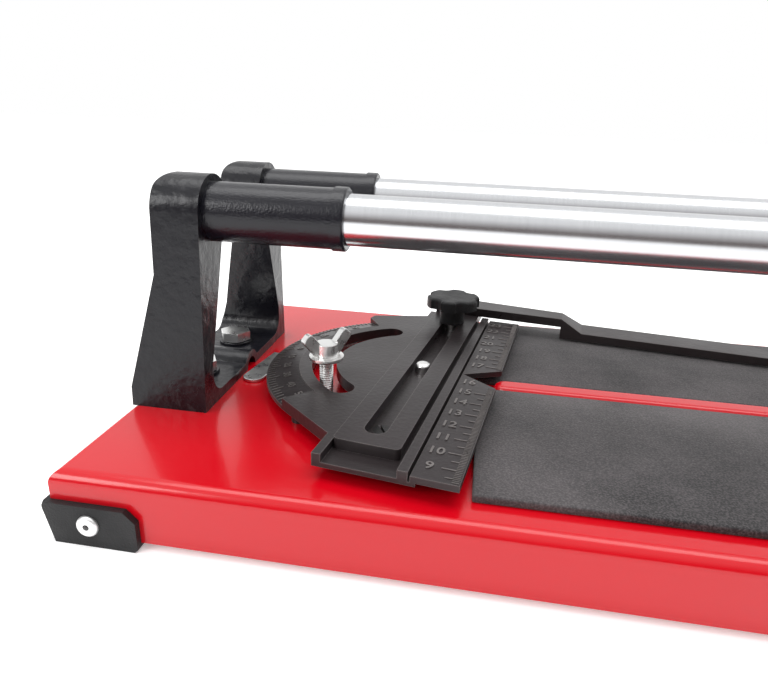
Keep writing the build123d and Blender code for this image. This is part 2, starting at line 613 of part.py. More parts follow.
# ---------------------------------------------------------------- gauge casting
# One die casting: slider channel between a wall and a lip, ruler strip, slotted protractor plate
# whose graduated band falls away to the rim
PLATE = DISC_RISE - GAUGE_UNDER
CAST_LENGTH = FAR_END_U - NEAR_END_U
CAST_MID_U = (FAR_END_U + NEAR_END_U) / 2
WALL_MID_V = (WALL_OUT_V + WALL_IN_V) / 2
LIP_MID_V = (LIP_IN_V + LIP_OUT_V) / 2
RULER_MID_V = (RULER_IN_V + RULER_OUT_V) / 2
BAND_START_DEG = DISC_FROM_DEG + GAUGE_REST_DEG
BAND_START = Plane(
    origin=(PIVOT_X, 0, PAN_TOP_Z),
    x_dir=(*polar(1, BAND_START_DEG), 0),
    z_dir=(*polar(1, BAND_START_DEG - 90), 0),
)
with BuildPart() as protractor_gauge:
    with BuildSketch(gauge_plane(GAUGE_UNDER)):
        with Locations(((WALL_OUT_V + RULER_OUT_V) / 2, CAST_MID_U)):
            Rectangle(RULER_OUT_V - WALL_OUT_V, CAST_LENGTH)
    extrude(amount=GROOVE_RISE - GAUGE_UNDER)
    with BuildSketch(gauge_plane(GROOVE_RISE)):
        with Locations(((WALL_OUT_V + LIP_OUT_V) / 2, CAST_MID_U)):
            Rectangle(LIP_OUT_V - WALL_OUT_V, CAST_LENGTH)
    extrude(amount=FLOOR_RISE - GROOVE_RISE)
    with BuildSketch(gauge_plane(FLOOR_RISE)):
        with Locations((WALL_MID_V, CAST_MID_U)):
            Rectangle(WALL_IN_V - WALL_OUT_V, CAST_LENGTH)
        with Locations((LIP_MID_V, CAST_MID_U)):
            Rectangle(LIP_OUT_V - LIP_IN_V, CAST_LENGTH)
    extrude(amount=DISC_RISE - FLOOR_RISE)
    with BuildSketch(gauge_plane(GROOVE_RISE)):
        with Locations((RULER_MID_V, CAST_MID_U)):
            Rectangle(RULER_OUT_V - RULER_IN_V, CAST_LENGTH)
    extrude(amount=RULER_RISE - GROOVE_RISE)
    with BuildSketch(gauge_plane(GAUGE_UNDER)):
        with Locations(((RULER_HOLLOW_V + RULER_OUT_V) / 2, CAST_MID_U)):
            Rectangle(RULER_OUT_V - RULER_HOLLOW_V, CAST_LENGTH)
    extrude(amount=RULER_UNDER - GAUGE_UNDER, mode=Mode.SUBTRACT)
    with BuildSketch(gauge_plane(GAUGE_UNDER)):
        with BuildLine():
            rim = CenterArc((0, 0), DISC_R, DISC_FROM_DEG, DISC_TO_DEG - DISC_FROM_DEG)
            Polyline(
                rim @ 1,
                (WALL_OUT_V, DISC_NEAR_U),
                (WALL_IN_V, DISC_NEAR_U),
                (WALL_IN_V, DISC_FAR_U),
                (WALL_OUT_V, DISC_FAR_U),
                polar(DISC_CORNER_R, DISC_FROM_DEG - DISC_CORNER_STEP_DEG),
                rim @ 0,
            )
        make_face()
    extrude(amount=PLATE)
    with BuildSketch(gauge_plane(0)):
        Circle(PIVOT_BOSS_D / 2)
        for angle in GLIDE_DEGS:
            with Locations(polar(GLIDE_R, angle)):
                Circle(GLIDE_D / 2)
    extrude(amount=GAUGE_UNDER)
    with BuildSketch(gauge_plane(0)):
        Circle(PIVOT_BOSS_D)
        for angle in GLIDE_DEGS:
            with Locations(polar(GLIDE_R, angle)):
                Circle(GLIDE_D)
    extrude(amount=SLIP_GAP, mode=Mode.SUBTRACT)
    with BuildSketch(gauge_plane(GAUGE_UNDER)):
        with BuildLine():
            Polyline(
                (NOTCH_APEX_V, NOTCH_U),
                (RULER_OUT_V, NOTCH_U - NOTCH_WIDTH / 2),
                (RULER_OUT_V, NOTCH_U + NOTCH_WIDTH / 2),
                close=True,
            )
        make_face()
        with BuildLine():
            slot_line = CenterArc((0, 0), ARC_SLOT_R, ARC_SLOT_FROM_DEG, ARC_SLOT_TO_DEG - ARC_SLOT_FROM_DEG)
        SlotArc(slot_line, ARC_SLOT_WIDTH)
        with Locations((0, KNOB_U)):
            Circle(KNOB_STUD_D / 2)
        with Locations((0, CHANNEL_SCREW_U)):
            Circle(CHANNEL_SCREW_D / 2)
    extrude(amount=PLATE, mode=Mode.SUBTRACT)
    with BuildSketch(gauge_plane(0)):
        Circle(PIVOT_D / 2 + RUN_GAP)
    extrude(amount=DISC_RISE, mode=Mode.SUBTRACT)
    with BuildSketch(gauge_plane(GAUGE_UNDER)):
        with Locations((0, KNOB_U)):
            Circle(CARRIAGE_BOLT_HEAD_D / 2)
    extrude(amount=HEAD_RECESS, mode=Mode.SUBTRACT)
    with BuildSketch(gauge_plane(FLOOR_RISE)):
        with Locations((0, CHANNEL_SCREW_U)):
            Circle(CHANNEL_HEAD_D / 2)
    extrude(amount=-CHANNEL_HEAD, taper=45, mode=Mode.SUBTRACT)
    with BuildSketch(BAND_START):
        with BuildLine():
            Polyline(
                (BAND_IN_R, DISC_RISE),
                (BAND_IN_R, DISC_RISE - BAND_IN_DEPTH),
                (DISC_R, DISC_RISE - BAND_OUT_DEPTH),
                (DISC_CORNER_R, DISC_RISE - BAND_OUT_DEPTH),
                (DISC_CORNER_R, DISC_RISE),
                close=True,
            )
        make_face()
    revolve(
        axis=Axis((PIVOT_X, 0, 0), (0, 0, 1)),
        revolution_arc=DISC_TO_DEG - DISC_FROM_DEG,
        mode=Mode.SUBTRACT,
    )
protractor_gauge.part.label = "protractor_gauge"
export_step(protractor_gauge.part, "parts/protractor_gauge.step")

# Countersunk screw flush with the channel floor
SCREW_SLOT = 1.0
SCREW_SLOT_DEPTH = 0.8
SCREW_SLOT_DEG = 35.0
with BuildPart() as channel_screw:
    with BuildSketch(gauge_plane(FLOOR_RISE)):
        with Locations((0, CHANNEL_SCREW_U)):
            Circle(CHANNEL_HEAD_D / 2)
    extrude(amount=-CHANNEL_HEAD, taper=45)
    with BuildSketch(gauge_plane(GAUGE_UNDER)):
        with Locations((0, CHANNEL_SCREW_U)):
            Circle(CHANNEL_SCREW_D / 2)
    extrude(amount=FLOOR_RISE - GAUGE_UNDER)
    with BuildSketch(gauge_plane(FLOOR_RISE)):
        with Locations((0, CHANNEL_SCREW_U)):
            Rectangle(SCREW_SLOT, CHANNEL_HEAD_D, rotation=SCREW_SLOT_DEG)
    extrude(amount=-SCREW_SLOT_DEPTH, mode=Mode.SUBTRACT)
channel_screw.part.label = "channel_screw"
export_step(channel_screw.part, "parts/channel_screw.step")

# Fence clamp bolt: low head recessed under the channel, stud up through the slider slot
KNOB_STUD_IN_HEAD = 2.0
KNOB_STUD_TOP = KNOB_HEAD_RISE + KNOB_STUD_IN_HEAD
with BuildPart() as fence_clamp_bolt:
    with BuildSketch(gauge_plane(GAUGE_UNDER + HEAD_RECESS)):
        with Locations((0, KNOB_U)):
            Circle(CARRIAGE_BOLT_HEAD_D / 2)
    extrude(amount=-CARRIAGE_BOLT_HEAD)
    with BuildSketch(gauge_plane(GAUGE_UNDER + HEAD_RECESS)):
        with Locations((0, KNOB_U)):
            Circle(KNOB_STUD_D / 2)
    extrude(amount=KNOB_STUD_TOP - GAUGE_UNDER - HEAD_RECESS)
fence_clamp_bolt.part.label = "fence_clamp_bolt"
export_step(fence_clamp_bolt.part, "parts/fence_clamp_bolt.step")

# Wing nut: flange, hub and two raised wings
WING_PLANE_X = (cos(radians(WING_TURN_DEG)), sin(radians(WING_TURN_DEG)), 0)
WING_BASE = Plane(origin=(STUD_X, STUD_Y, PAN_TOP_Z + WING_FLANGE_RISE), x_dir=WING_PLANE_X, z_dir=(0, 0, 1))
WING_SIDE = Plane(
    origin=(STUD_X, STUD_Y, PAN_TOP_Z + WING_FLANGE_RISE),
    x_dir=WING_PLANE_X,
    z_dir=(sin(radians(WING_TURN_DEG)), -cos(radians(WING_TURN_DEG)), 0),
)
WING_RISE = WING_TOP_RISE - WING_FLANGE_RISE
WING_ROOT_D = WING_HUB_D + 1.2
WING_TIP = 3.4
WING_TIP_R = 1.5
with BuildPart() as wing_nut:
    with BuildSketch(WING_BASE):
        Circle(WING_FLANGE_D / 2)
    extrude(amount=WING_FLANGE)
    with BuildSketch(WING_BASE):
        Circle(WING_HUB_D / 2)
    extrude(amount=WING_HUB)
    with BuildSketch(WING_SIDE) as wings:
        with BuildLine():
            Polyline(
                (0, WING_FLANGE),
                (WING_ROOT_D / 2, WING_FLANGE),
                (WING_SPAN / 2, WING_RISE - WING_TIP),
                (WING_SPAN / 2 - WING_TIP, WING_RISE),
                (WING_HUB_D / 2 - WING_TIP_R, WING_HUB),
                (0, WING_HUB),
                close=True,
            )
        make_face()
        fillet(wings.vertices().sort_by(Axis.Y)[-2:], WING_TIP_R)
        mirror(about=Plane.YZ)
    extrude(amount=WING_THICKNESS / 2, both=True)
    with BuildSketch(WING_BASE):
        Circle(STUD_D / 2 + RUN_GAP)
    extrude(amount=STUD_TOP_RISE - WING_FLANGE_RISE + RUN_GAP, mode=Mode.SUBTRACT)
wing_nut.part.label = "wing_nut"
export_step(wing_nut.part, "parts/wing_nut.step")

# ---------------------------------------------------------------- fence
# Slider: flat bar with a long slot, riding in the channel
SLIDER_RISE = FLOOR_RISE + RUN_GAP
SLIDER_TOP_RISE = SLIDER_RISE + SLIDER_THICKNESS
SLIDER_LENGTH = BAR_FAR_U - SLIDER_NEAR_U
SLOT_LENGTH = SLIDER_SLOT_FAR_U - SLIDER_SLOT_NEAR_U
FENCE_SCREW_D = 4.0
FENCE_SCREW_HEAD_D = 7.5
FENCE_SCREW_HEAD = 1.7
FENCE_SCREW_COVER = 1.0
FENCE_SCREW_END_GAP = 0.45
FENCE_SCREW_DEPTH = SLIDER_THICKNESS + BAR_THICKNESS - FENCE_SCREW_COVER - FENCE_SCREW_END_GAP
FENCE_SCREW_SPOTS = [(-6.5, (BAR_NEAR_U + BAR_FAR_U) / 2), (6.5, (BAR_NEAR_U + BAR_FAR_U) / 2)]
with BuildPart() as fence_slider:
    with BuildSketch(gauge_plane(SLIDER_RISE)) as slider_outline:
        with Locations((0, (SLIDER_NEAR_U + BAR_FAR_U) / 2)):
            RectangleRounded(SLIDER_WIDTH, SLIDER_LENGTH, SLIDER_CORNER_R)
        with Locations((0, (SLIDER_SLOT_NEAR_U + SLIDER_SLOT_FAR_U) / 2)):
            SlotOverall(SLOT_LENGTH, SLIDER_SLOT_WIDTH, rotation=90, mode=Mode.SUBTRACT)
        with Locations(*FENCE_SCREW_SPOTS):
            Circle(FENCE_SCREW_D / 2, mode=Mode.SUBTRACT)
    extrude(amount=SLIDER_THICKNESS)
    with BuildSketch(gauge_plane(SLIDER_RISE)):
        with Locations(*FENCE_SCREW_SPOTS):
            Circle(FENCE_SCREW_HEAD_D / 2)
    extrude(amount=FENCE_SCREW_HEAD, taper=45, mode=Mode.SUBTRACT)
fence_slider.part.label = "fence_slider"
export_step(fence_slider.part, "parts/fence_slider.step")

# Fence bar: raised arm on the slider, stepping down to a long blade above the pads
BAR_SIDE = Plane(
    origin=gauge_plane(0).from_local_coords((0, BAR_NEAR_U, 0)),
    x_dir=gauge_plane(0).x_dir,
    z_dir=gauge_plane(0).y_dir * -1,
)
BAR_TOP_RISE = SLIDER_TOP_RISE + BAR_THICKNESS
BAR_LOW_TOP = BAR_LOW_RISE + BAR_LOW_THICKNESS
BAR_DEPTH = BAR_FAR_U - BAR_NEAR_U
with BuildPart() as fence_bar:
    with BuildSketch(BAR_SIDE):
        with BuildLine():
            Polyline(
                (BAR_LEFT_V, SLIDER_TOP_RISE),
                (BAR_STEP_V, SLIDER_TOP_RISE),
                (BAR_STEP_V, BAR_LOW_RISE),
                (BAR_RIGHT_V, BAR_LOW_RISE),
                (BAR_RIGHT_V, BAR_LOW_TOP),
                (BAR_STEP_V + BAR_SLOPE, BAR_LOW_TOP),
                (BAR_STEP_V, BAR_TOP_RISE),
                (BAR_LEFT_V, BAR_TOP_RISE),
                close=True,
            )
        make_face()
    extrude(amount=-BAR_DEPTH)
    with BuildSketch(gauge_plane(0)):
        with BuildLine():
            Polyline(
                (BAR_LEFT_V, BAR_FAR_U),
                (BAR_STEP_V, BAR_FAR_U - BAR_TAPER),
                (BAR_STEP_V + BAR_SLOPE, BAR_FAR_U),
                close=True,
            )
        make_face()
    extrude(amount=BAR_TOP_RISE, mode=Mode.SUBTRACT)
    far_corner = fence_bar.edges().filter_by(Axis.Z).group_by(Axis.X)[-1].sort_by(Axis.Y)[-1]
    fillet(far_corner, BAR_CORNER_R)
    with BuildSketch(gauge_plane(SLIDER_TOP_RISE)):
        with Locations(*FENCE_SCREW_SPOTS):
            Circle(FENCE_SCREW_D / 2)
    extrude(amount=BAR_THICKNESS - FENCE_SCREW_COVER, mode=Mode.SUBTRACT)
fence_bar.part.label = "fence_bar"
export_step(fence_bar.part, "parts/fence_bar.step")

with BuildPart() as fence_screws:
    with BuildSketch(gauge_plane(SLIDER_RISE)):
        with Locations(*FENCE_SCREW_SPOTS):
            Circle(FENCE_SCREW_HEAD_D / 2)
    extrude(amount=FENCE_SCREW_HEAD, taper=45)
    with BuildSketch(gauge_plane(SLIDER_RISE)):
        with Locations(*FENCE_SCREW_SPOTS):
            Circle(FENCE_SCREW_D / 2)
    extrude(amount=FENCE_SCREW_DEPTH)
fence_screws.part.label = "fence_screws"
export_step(fence_screws.part, "parts/fence_screws.step")

# Clamp knob: scalloped head on a round stem, threaded brass insert up the middle
KNOB_FOOT_RISE = SLIDER_TOP_RISE + SLIP_GAP
INSERT_IN_HEAD = 2.5
INSERT_HEIGHT = KNOB_HEAD_RISE - KNOB_FOOT_RISE + INSERT_IN_HEAD
KNOB_SCALLOP_OUT = 2.5
KNOB_EDGE_R = 1.4
with BuildPart() as clamp_knob:
    with BuildSketch(gauge_plane(KNOB_HEAD_RISE)):
        with Locations((0, KNOB_U)):
            Circle(KNOB_HEAD_D / 2)
            with PolarLocations(KNOB_HEAD_D / 2 + KNOB_SCALLOP_OUT, KNOB_LOBES):
                Circle(KNOB_SCALLOP_D / 2, mode=Mode.SUBTRACT)
    extrude(amount=KNOB_HEAD)
    fillet(clamp_knob.faces().sort_by(Axis.Z)[-1].edges(), KNOB_EDGE_R)
    with BuildSketch(gauge_plane(KNOB_FOOT_RISE)):
        with Locations((0, KNOB_U)):
            Circle(KNOB_STEM_D / 2)
    extrude(amount=KNOB_HEAD_RISE - KNOB_FOOT_RISE)
    with BuildSketch(gauge_plane(KNOB_FOOT_RISE)):
        with Locations((0, KNOB_U)):
            Circle(INSERT_D / 2)
    extrude(amount=INSERT_HEIGHT, mode=Mode.SUBTRACT)
clamp_knob.part.label = "clamp_knob"
export_step(clamp_knob.part, "parts/clamp_knob.step")

with BuildPart() as knob_insert:
    with BuildSketch(gauge_plane(KNOB_FOOT_RISE)):
        with Locations((0, KNOB_U)):
            Circle(INSERT_D / 2)
            Circle(KNOB_STUD_D / 2 + RUN_GAP, mode=Mode.SUBTRACT)
    extrude(amount=INSERT_HEIGHT)
knob_insert.part.label = "knob_insert"
export_step(knob_insert.part, "parts/knob_insert.step")

# ---------------------------------------------------------------- carriage
# Block casting: a cheek around each rail, a rear and a front bridge, two lugs for the lever pin
LUG_RISE = LEVER_Z - RAIL_Z
BRIDGE_JOIN = 1.0
PIN_CHAMFER = 0.8
LEVER_SIDE = Plane(origin=(CARRIAGE_X, 0, LEVER_Z), x_dir=(1, 0, 0), z_dir=(0, -1, 0))
with BuildPart() as carriage_block:
    with BuildSketch(Plane.YZ.offset(CARRIAGE_X - CARRIAGE_HALF)):
        with Locations((RAIL_OFFSET_Y, RAIL_Z)):
            Circle(CHEEK_R)
        with Locations(((CHEEK_IN_Y + RAIL_OFFSET_Y) / 2, RAIL_Z)):
            Rectangle(RAIL_OFFSET_Y - CHEEK_IN_Y, 2 * CHEEK_R)
        mirror(about=Plane.YZ)
    extrude(amount=2 * CARRIAGE_HALF)
    with BuildSketch(LEVER_SIDE) as lug_outline:
        with BuildLine():
            Polyline(
                (-LUG_HALF - BRIDGE, -LUG_RISE),
                (-LUG_TOP_R, 0),
                (LUG_TOP_R, 0),
                (LUG_HALF + BRIDGE, -LUG_RISE),
                close=True,
            )
        make_face()
        Circle(LUG_TOP_R)
    extrude(amount=LUG_OUT_Y, both=True)
    with BuildSketch(LEVER_SIDE):
        Rectangle(4 * CARRIAGE_HALF, 4 * CARRIAGE_HALF)
    extrude(amount=CHEEK_IN_Y, both=True, mode=Mode.SUBTRACT)
    with BuildSketch(LEVER_SIDE):
        with Locations((-CARRIAGE_HALF + BRIDGE / 2, -LUG_RISE + CHEEK_R)):
            Rectangle(BRIDGE, REAR_BRIDGE_HEIGHT, align=(Align.CENTER, Align.MAX))
    extrude(amount=CHEEK_IN_Y + BRIDGE_JOIN, both=True)
    with BuildSketch(LEVER_SIDE):
        with Locations((CARRIAGE_HALF - FRONT_BRIDGE / 2, FRONT_BRIDGE_TOP)):
            Rectangle(FRONT_BRIDGE, FRONT_BRIDGE_HEIGHT, align=(Align.CENTER, Align.MAX))
    extrude(amount=FRONT_BRIDGE_HALF, both=True)
    with BuildSketch(LEVER_SIDE):
        Circle(PIN_D / 2)
    extrude(amount=LUG_OUT_Y, both=True, mode=Mode.SUBTRACT)
    with BuildSketch(Plane.YZ.offset(CARRIAGE_X - CARRIAGE_HALF)):
        with Locations((-RAIL_OFFSET_Y, RAIL_Z), (RAIL_OFFSET_Y, RAIL_Z)):
            Circle(BUSH_D / 2)
    extrude(amount=2 * CARRIAGE_HALF, mode=Mode.SUBTRACT)
carriage_block.part.label = "carriage_block"
export_step(carriage_block.part, "parts/carriage_block.step")

# Nylon bushes, one at each end of each bore
with BuildPart() as rail_bushes:
    for start_x in (CARRIAGE_X - CARRIAGE_HALF, CARRIAGE_X + CARRIAGE_HALF - BUSH_LENGTH):
        with BuildSketch(Plane.YZ.offset(start_x)):
            with Locations((-RAIL_OFFSET_Y, RAIL_Z), (RAIL_OFFSET_Y, RAIL_Z)):
                Circle(BUSH_D / 2)
                Circle(RAIL_D / 2 + RUN_GAP, mode=Mode.SUBTRACT)
        extrude(amount=BUSH_LENGTH)
rail_bushes.part.label = "rail_bushes"
export_step(rail_bushes.part, "parts/rail_bushes.step")

# Lever pin across the lugs, held by a clip at each end
PIN_HALF = LUG_OUT_Y + CIRCLIP + PIN_OVERHANG
with BuildPart() as lever_pin:
    with BuildSketch(LEVER_SIDE):
        Circle(PIN_D / 2)
    extrude(amount=PIN_HALF, both=True)
    chamfer(lever_pin.edges().filter_by(GeomType.CIRCLE), PIN_CHAMFER)
lever_pin.part.label = "lever_pin"
export_step(lever_pin.part, "parts/lever_pin.step")

with BuildPart() as lever_pin_clips:
    with BuildSketch(LEVER_SIDE.offset(LUG_OUT_Y)):
        Circle(CIRCLIP_D / 2)
        Circle(PIN_D / 2, mode=Mode.SUBTRACT)
        with Locations((0, -CIRCLIP_D / 2)):
            Rectangle(PIN_D / 2, CIRCLIP_D / 2, mode=Mode.SUBTRACT)
    extrude(amount=CIRCLIP)
    mirror(about=Plane.XZ)
lever_pin_clips.part.label = "lever_pin_clips"
export_step(lever_pin_clips.part, "parts/lever_pin_clips.step")

# ---------------------------------------------------------------- lever
# Cast lever: hub on the pin, forked arm to the wheel, arm to the breaker foot, socket for the handle
WHEEL_SPOT = (WHEEL_X, -WHEEL_DROP)
FOOT_SPOT = (FOOT_PIVOT_X, -FOOT_PIVOT_DROP)
HANDLE_RUN = HANDLE_END_X - HANDLE_START_X
HANDLE_CLIMB = HANDLE_END_RISE - HANDLE_START_RISE
HANDLE_DIR = Vector(HANDLE_RUN, 0, HANDLE_CLIMB).normalized()
HANDLE_PLANE = Plane(
    origin=(CARRIAGE_X + HANDLE_START_X, 0, LEVER_Z + HANDLE_START_RISE),
    x_dir=(0, 1, 0),
    z_dir=tuple(HANDLE_DIR),
)
SOCKET_BORE_START = SOCKET_LENGTH - TUBE_IN_SOCKET
ROLL_PIN_ALONG = SOCKET_BORE_START + TUBE_IN_SOCKET / 2
ROLL_PIN_SPOT = (
    HANDLE_START_X + ROLL_PIN_ALONG * HANDLE_DIR.X,
    HANDLE_START_RISE + ROLL_PIN_ALONG * HANDLE_DIR.Z,
)
ARM_TIP_HALF = 5.5
WEB_RISE = 11.0
WHEEL_CLEARANCE = 3.0
PIN_SUNK = 0.3
with BuildPart() as lever_arm:
    with BuildSketch(LEVER_SIDE):
        with BuildLine():
            Polyline(
                (-ARM_ROOT, 0),
                (WHEEL_X - ARM_TIP_HALF, -WHEEL_DROP + ARM_TIP_HALF),
                (WHEEL_X + ARM_TIP_HALF, -WHEEL_DROP - ARM_TIP_HALF),
                (0, -HUB_R),
                close=True,
            )
        make_face()
        with BuildLine():
            Polyline(
                (-ARM_ROOT, -ARM_ROOT),
                (FOOT_PIVOT_X - FOOT_EYE_R, -FOOT_PIVOT_DROP),
                (FOOT_PIVOT_X + FOOT_EYE_R, -FOOT_PIVOT_DROP),
                (HUB_R, 0),
                close=True,
            )
        make_face()
        with Locations(WHEEL_SPOT):
            Circle(WHEEL_EYE_R)
        with Locations(FOOT_SPOT):
            Circle(FOOT_EYE_R)
    extrude(amount=ARM_HALF, both=True)
    with BuildSketch(LEVER_SIDE):
        Circle(HUB_R)
    extrude(amount=HUB_HALF, both=True)
    with BuildSketch(HANDLE_PLANE):
        Circle(SOCKET_D / 2)
    extrude(amount=SOCKET_LENGTH)
    with BuildSketch(LEVER_SIDE):
        with BuildLine():
            Polyline(
                (-ARM_ROOT, ARM_ROOT),
                (HANDLE_START_X, HANDLE_START_RISE + WEB_RISE),
                (HANDLE_START_X + WEB_RISE, HANDLE_START_RISE - WEB_RISE / 2),
                (ARM_ROOT, -ARM_ROOT / 2),
                close=True,
            )
        make_face()
    extrude(amount=ARM_HALF, both=True)
    with BuildSketch(HANDLE_PLANE.offset(SOCKET_BORE_START)):
        Circle(HANDLE_D / 2)
    extrude(amount=TUBE_IN_SOCKET, mode=Mode.SUBTRACT)
    with BuildSketch(LEVER_SIDE):
        Circle(PIN_D / 2 + RUN_GAP)
    extrude(amount=HUB_HALF, both=True, mode=Mode.SUBTRACT)
    with BuildSketch(LEVER_SIDE):
        with Locations(WHEEL_SPOT):
            Circle(WHEEL_R + WHEEL_CLEARANCE)
    extrude(amount=WHEEL_THICKNESS / 2 + WHEEL_FORK_GAP, both=True, mode=Mode.SUBTRACT)
    with BuildSketch(LEVER_SIDE):
        with Locations(WHEEL_SPOT):
            Circle(WHEEL_AXLE_D / 2)
        with Locations(FOOT_SPOT):
            Circle(FOOT_PIN_D / 2)
    extrude(amount=HUB_HALF, both=True, mode=Mode.SUBTRACT)
    with BuildSketch(LEVER_SIDE):
        with Locations(ROLL_PIN_SPOT):
            Circle(ROLL_PIN_D / 2)
    extrude(amount=SOCKET_D / 2, both=True, mode=Mode.SUBTRACT)
lever_arm.part.label = "lever_arm"
export_step(lever_arm.part, "parts/lever_arm.step")

# Handle: steel tube in the socket, cross pin, rubber grip closed at the end
TUBE_LENGTH = Vector(HANDLE_RUN, 0, HANDLE_CLIMB).length - SOCKET_BORE_START
with BuildPart() as handle_tube:
    with BuildSketch(HANDLE_PLANE.offset(SOCKET_BORE_START)):
        Circle(HANDLE_D / 2)
        Circle(HANDLE_D / 2 - HANDLE_WALL, mode=Mode.SUBTRACT)
    extrude(amount=TUBE_LENGTH)
    with BuildSketch(LEVER_SIDE):
        with Locations(ROLL_PIN_SPOT):
            Circle(ROLL_PIN_D / 2)
    extrude(amount=SOCKET_D / 2, both=True, mode=Mode.SUBTRACT)
handle_tube.part.label = "handle_tube"
export_step(handle_tube.part, "parts/handle_tube.step")

with BuildPart() as handle_pin:
    with BuildSketch(LEVER_SIDE):
        with Locations(ROLL_PIN_SPOT):
            Circle(ROLL_PIN_D / 2)
    extrude(amount=SOCKET_D / 2 - PIN_SUNK, both=True)
handle_pin.part.label = "handle_pin"
export_step(handle_pin.part, "parts/handle_pin.step")

GRIP_START = SOCKET_BORE_START + TUBE_LENGTH + GRIP_END - GRIP_LENGTH
GRIP_EDGE_R = 4.0
with BuildPart() as handle_grip:
    with BuildSketch(HANDLE_PLANE.offset(GRIP_START)):
        Circle(GRIP_D / 2)
    extrude(amount=GRIP_LENGTH)
    fillet(handle_grip.edges().filter_by(GeomType.CIRCLE), GRIP_EDGE_R)
    with BuildSketch(HANDLE_PLANE.offset(GRIP_START)):
        Circle(HANDLE_D / 2)
    extrude(amount=GRIP_LENGTH - GRIP_END, mode=Mode.SUBTRACT)
handle_grip.part.label = "handle_grip"
export_step(handle_grip.part, "parts/handle_grip.step")

# Wheel axle screw with its nut, and the foot pin with two clips
AXLE_HEAD_D = 10.0
AXLE_HEAD = 3.0
AXLE_NUT = 4.0
with BuildPart() as wheel_axle:
    with BuildSketch(LEVER_SIDE.offset(ARM_HALF + AXLE_HEAD)):
        with Locations(WHEEL_SPOT):
            Circle(AXLE_HEAD_D / 2)
    extrude(amount=-AXLE_HEAD)
    with BuildSketch(LEVER_SIDE.offset(ARM_HALF)):
        with Locations(WHEEL_SPOT):
            Circle(WHEEL_AXLE_D / 2)
    extrude(amount=-2 * ARM_HALF - AXLE_NUT)
    with BuildSketch(LEVER_SIDE.offset(ARM_HALF + AXLE_HEAD)):
        with Locations(WHEEL_SPOT):
            RegularPolygon(WHEEL_AXLE_D / 3, 6)
    extrude(amount=-AXLE_HEAD / 2, mode=Mode.SUBTRACT)
wheel_axle.part.label = "wheel_axle"
export_step(wheel_axle.part, "parts/wheel_axle.step")

with BuildPart() as wheel_axle_nut:
    with BuildSketch(LEVER_SIDE.offset(-ARM_HALF)):
        with Locations(WHEEL_SPOT):
            RegularPolygon(AXLE_HEAD_D / 2, 6, major_radius=False)
            Circle(WHEEL_AXLE_D / 2, mode=Mode.SUBTRACT)
    extrude(amount=-AXLE_NUT)
wheel_axle_nut.part.label = "wheel_axle_nut"
export_step(wheel_axle_nut.part, "parts/wheel_axle_nut.step")

SADDLE_LUG_IN = ARM_HALF + SADDLE_LUG_GAP
SADDLE_LUG_OUT = SADDLE_LUG_IN + SADDLE_LUG_T
FOOT_PIN_OVERHANG = 1.5
FOOT_PIN_HALF = SADDLE_LUG_OUT + SLIP_GAP + CIRCLIP + FOOT_PIN_OVERHANG
FOOT_CLIP_D = 12.0
with BuildPart() as foot_pin:
    with BuildSketch(LEVER_SIDE):
        with Locations(FOOT_SPOT):
            Circle(FOOT_PIN_D / 2)
    extrude(amount=FOOT_PIN_HALF, both=True)
foot_pin.part.label = "foot_pin"
export_step(foot_pin.part, "parts/foot_pin.step")

with BuildPart() as foot_pin_clips:
    with BuildSketch(LEVER_SIDE.offset(SADDLE_LUG_OUT + SLIP_GAP)):
        with Locations(FOOT_SPOT):
            Circle(FOOT_CLIP_D / 2)
            Circle(FOOT_PIN_D / 2, mode=Mode.SUBTRACT)
    extrude(amount=CIRCLIP)
    mirror(about=Plane.XZ)
foot_pin_clips.part.label = "foot_pin_clips"
export_step(foot_pin_clips.part, "parts/foot_pin_clips.step")

# Scoring wheel: carbide disc ground to a central edge
with BuildPart() as scoring_wheel:
    with BuildSketch(Plane.XY.offset(LEVER_Z - WHEEL_DROP)):
        with BuildLine():
            Polyline(
                (CARRIAGE_X + WHEEL_X + WHEEL_AXLE_D / 2 + RUN_GAP, WHEEL_THICKNESS / 2),
                (CARRIAGE_X + WHEEL_X + WHEEL_R - WHEEL_THICKNESS / 2 - WHEEL_FLAT, WHEEL_THICKNESS / 2),
                (CARRIAGE_X + WHEEL_X + WHEEL_R, 0),
                (CARRIAGE_X + WHEEL_X + WHEEL_R - WHEEL_THICKNESS / 2 - WHEEL_FLAT, -WHEEL_THICKNESS / 2),
                (CARRIAGE_X + WHEEL_X + WHEEL_AXLE_D / 2 + RUN_GAP, -WHEEL_THICKNESS / 2),
                close=True,
            )
        make_face()
    revolve(axis=Axis((CARRIAGE_X + WHEEL_X, 0, LEVER_Z - WHEEL_DROP), (0, 1, 0)))
scoring_wheel.part.label = "scoring_wheel"
export_step(scoring_wheel.part, "parts/scoring_wheel.step")

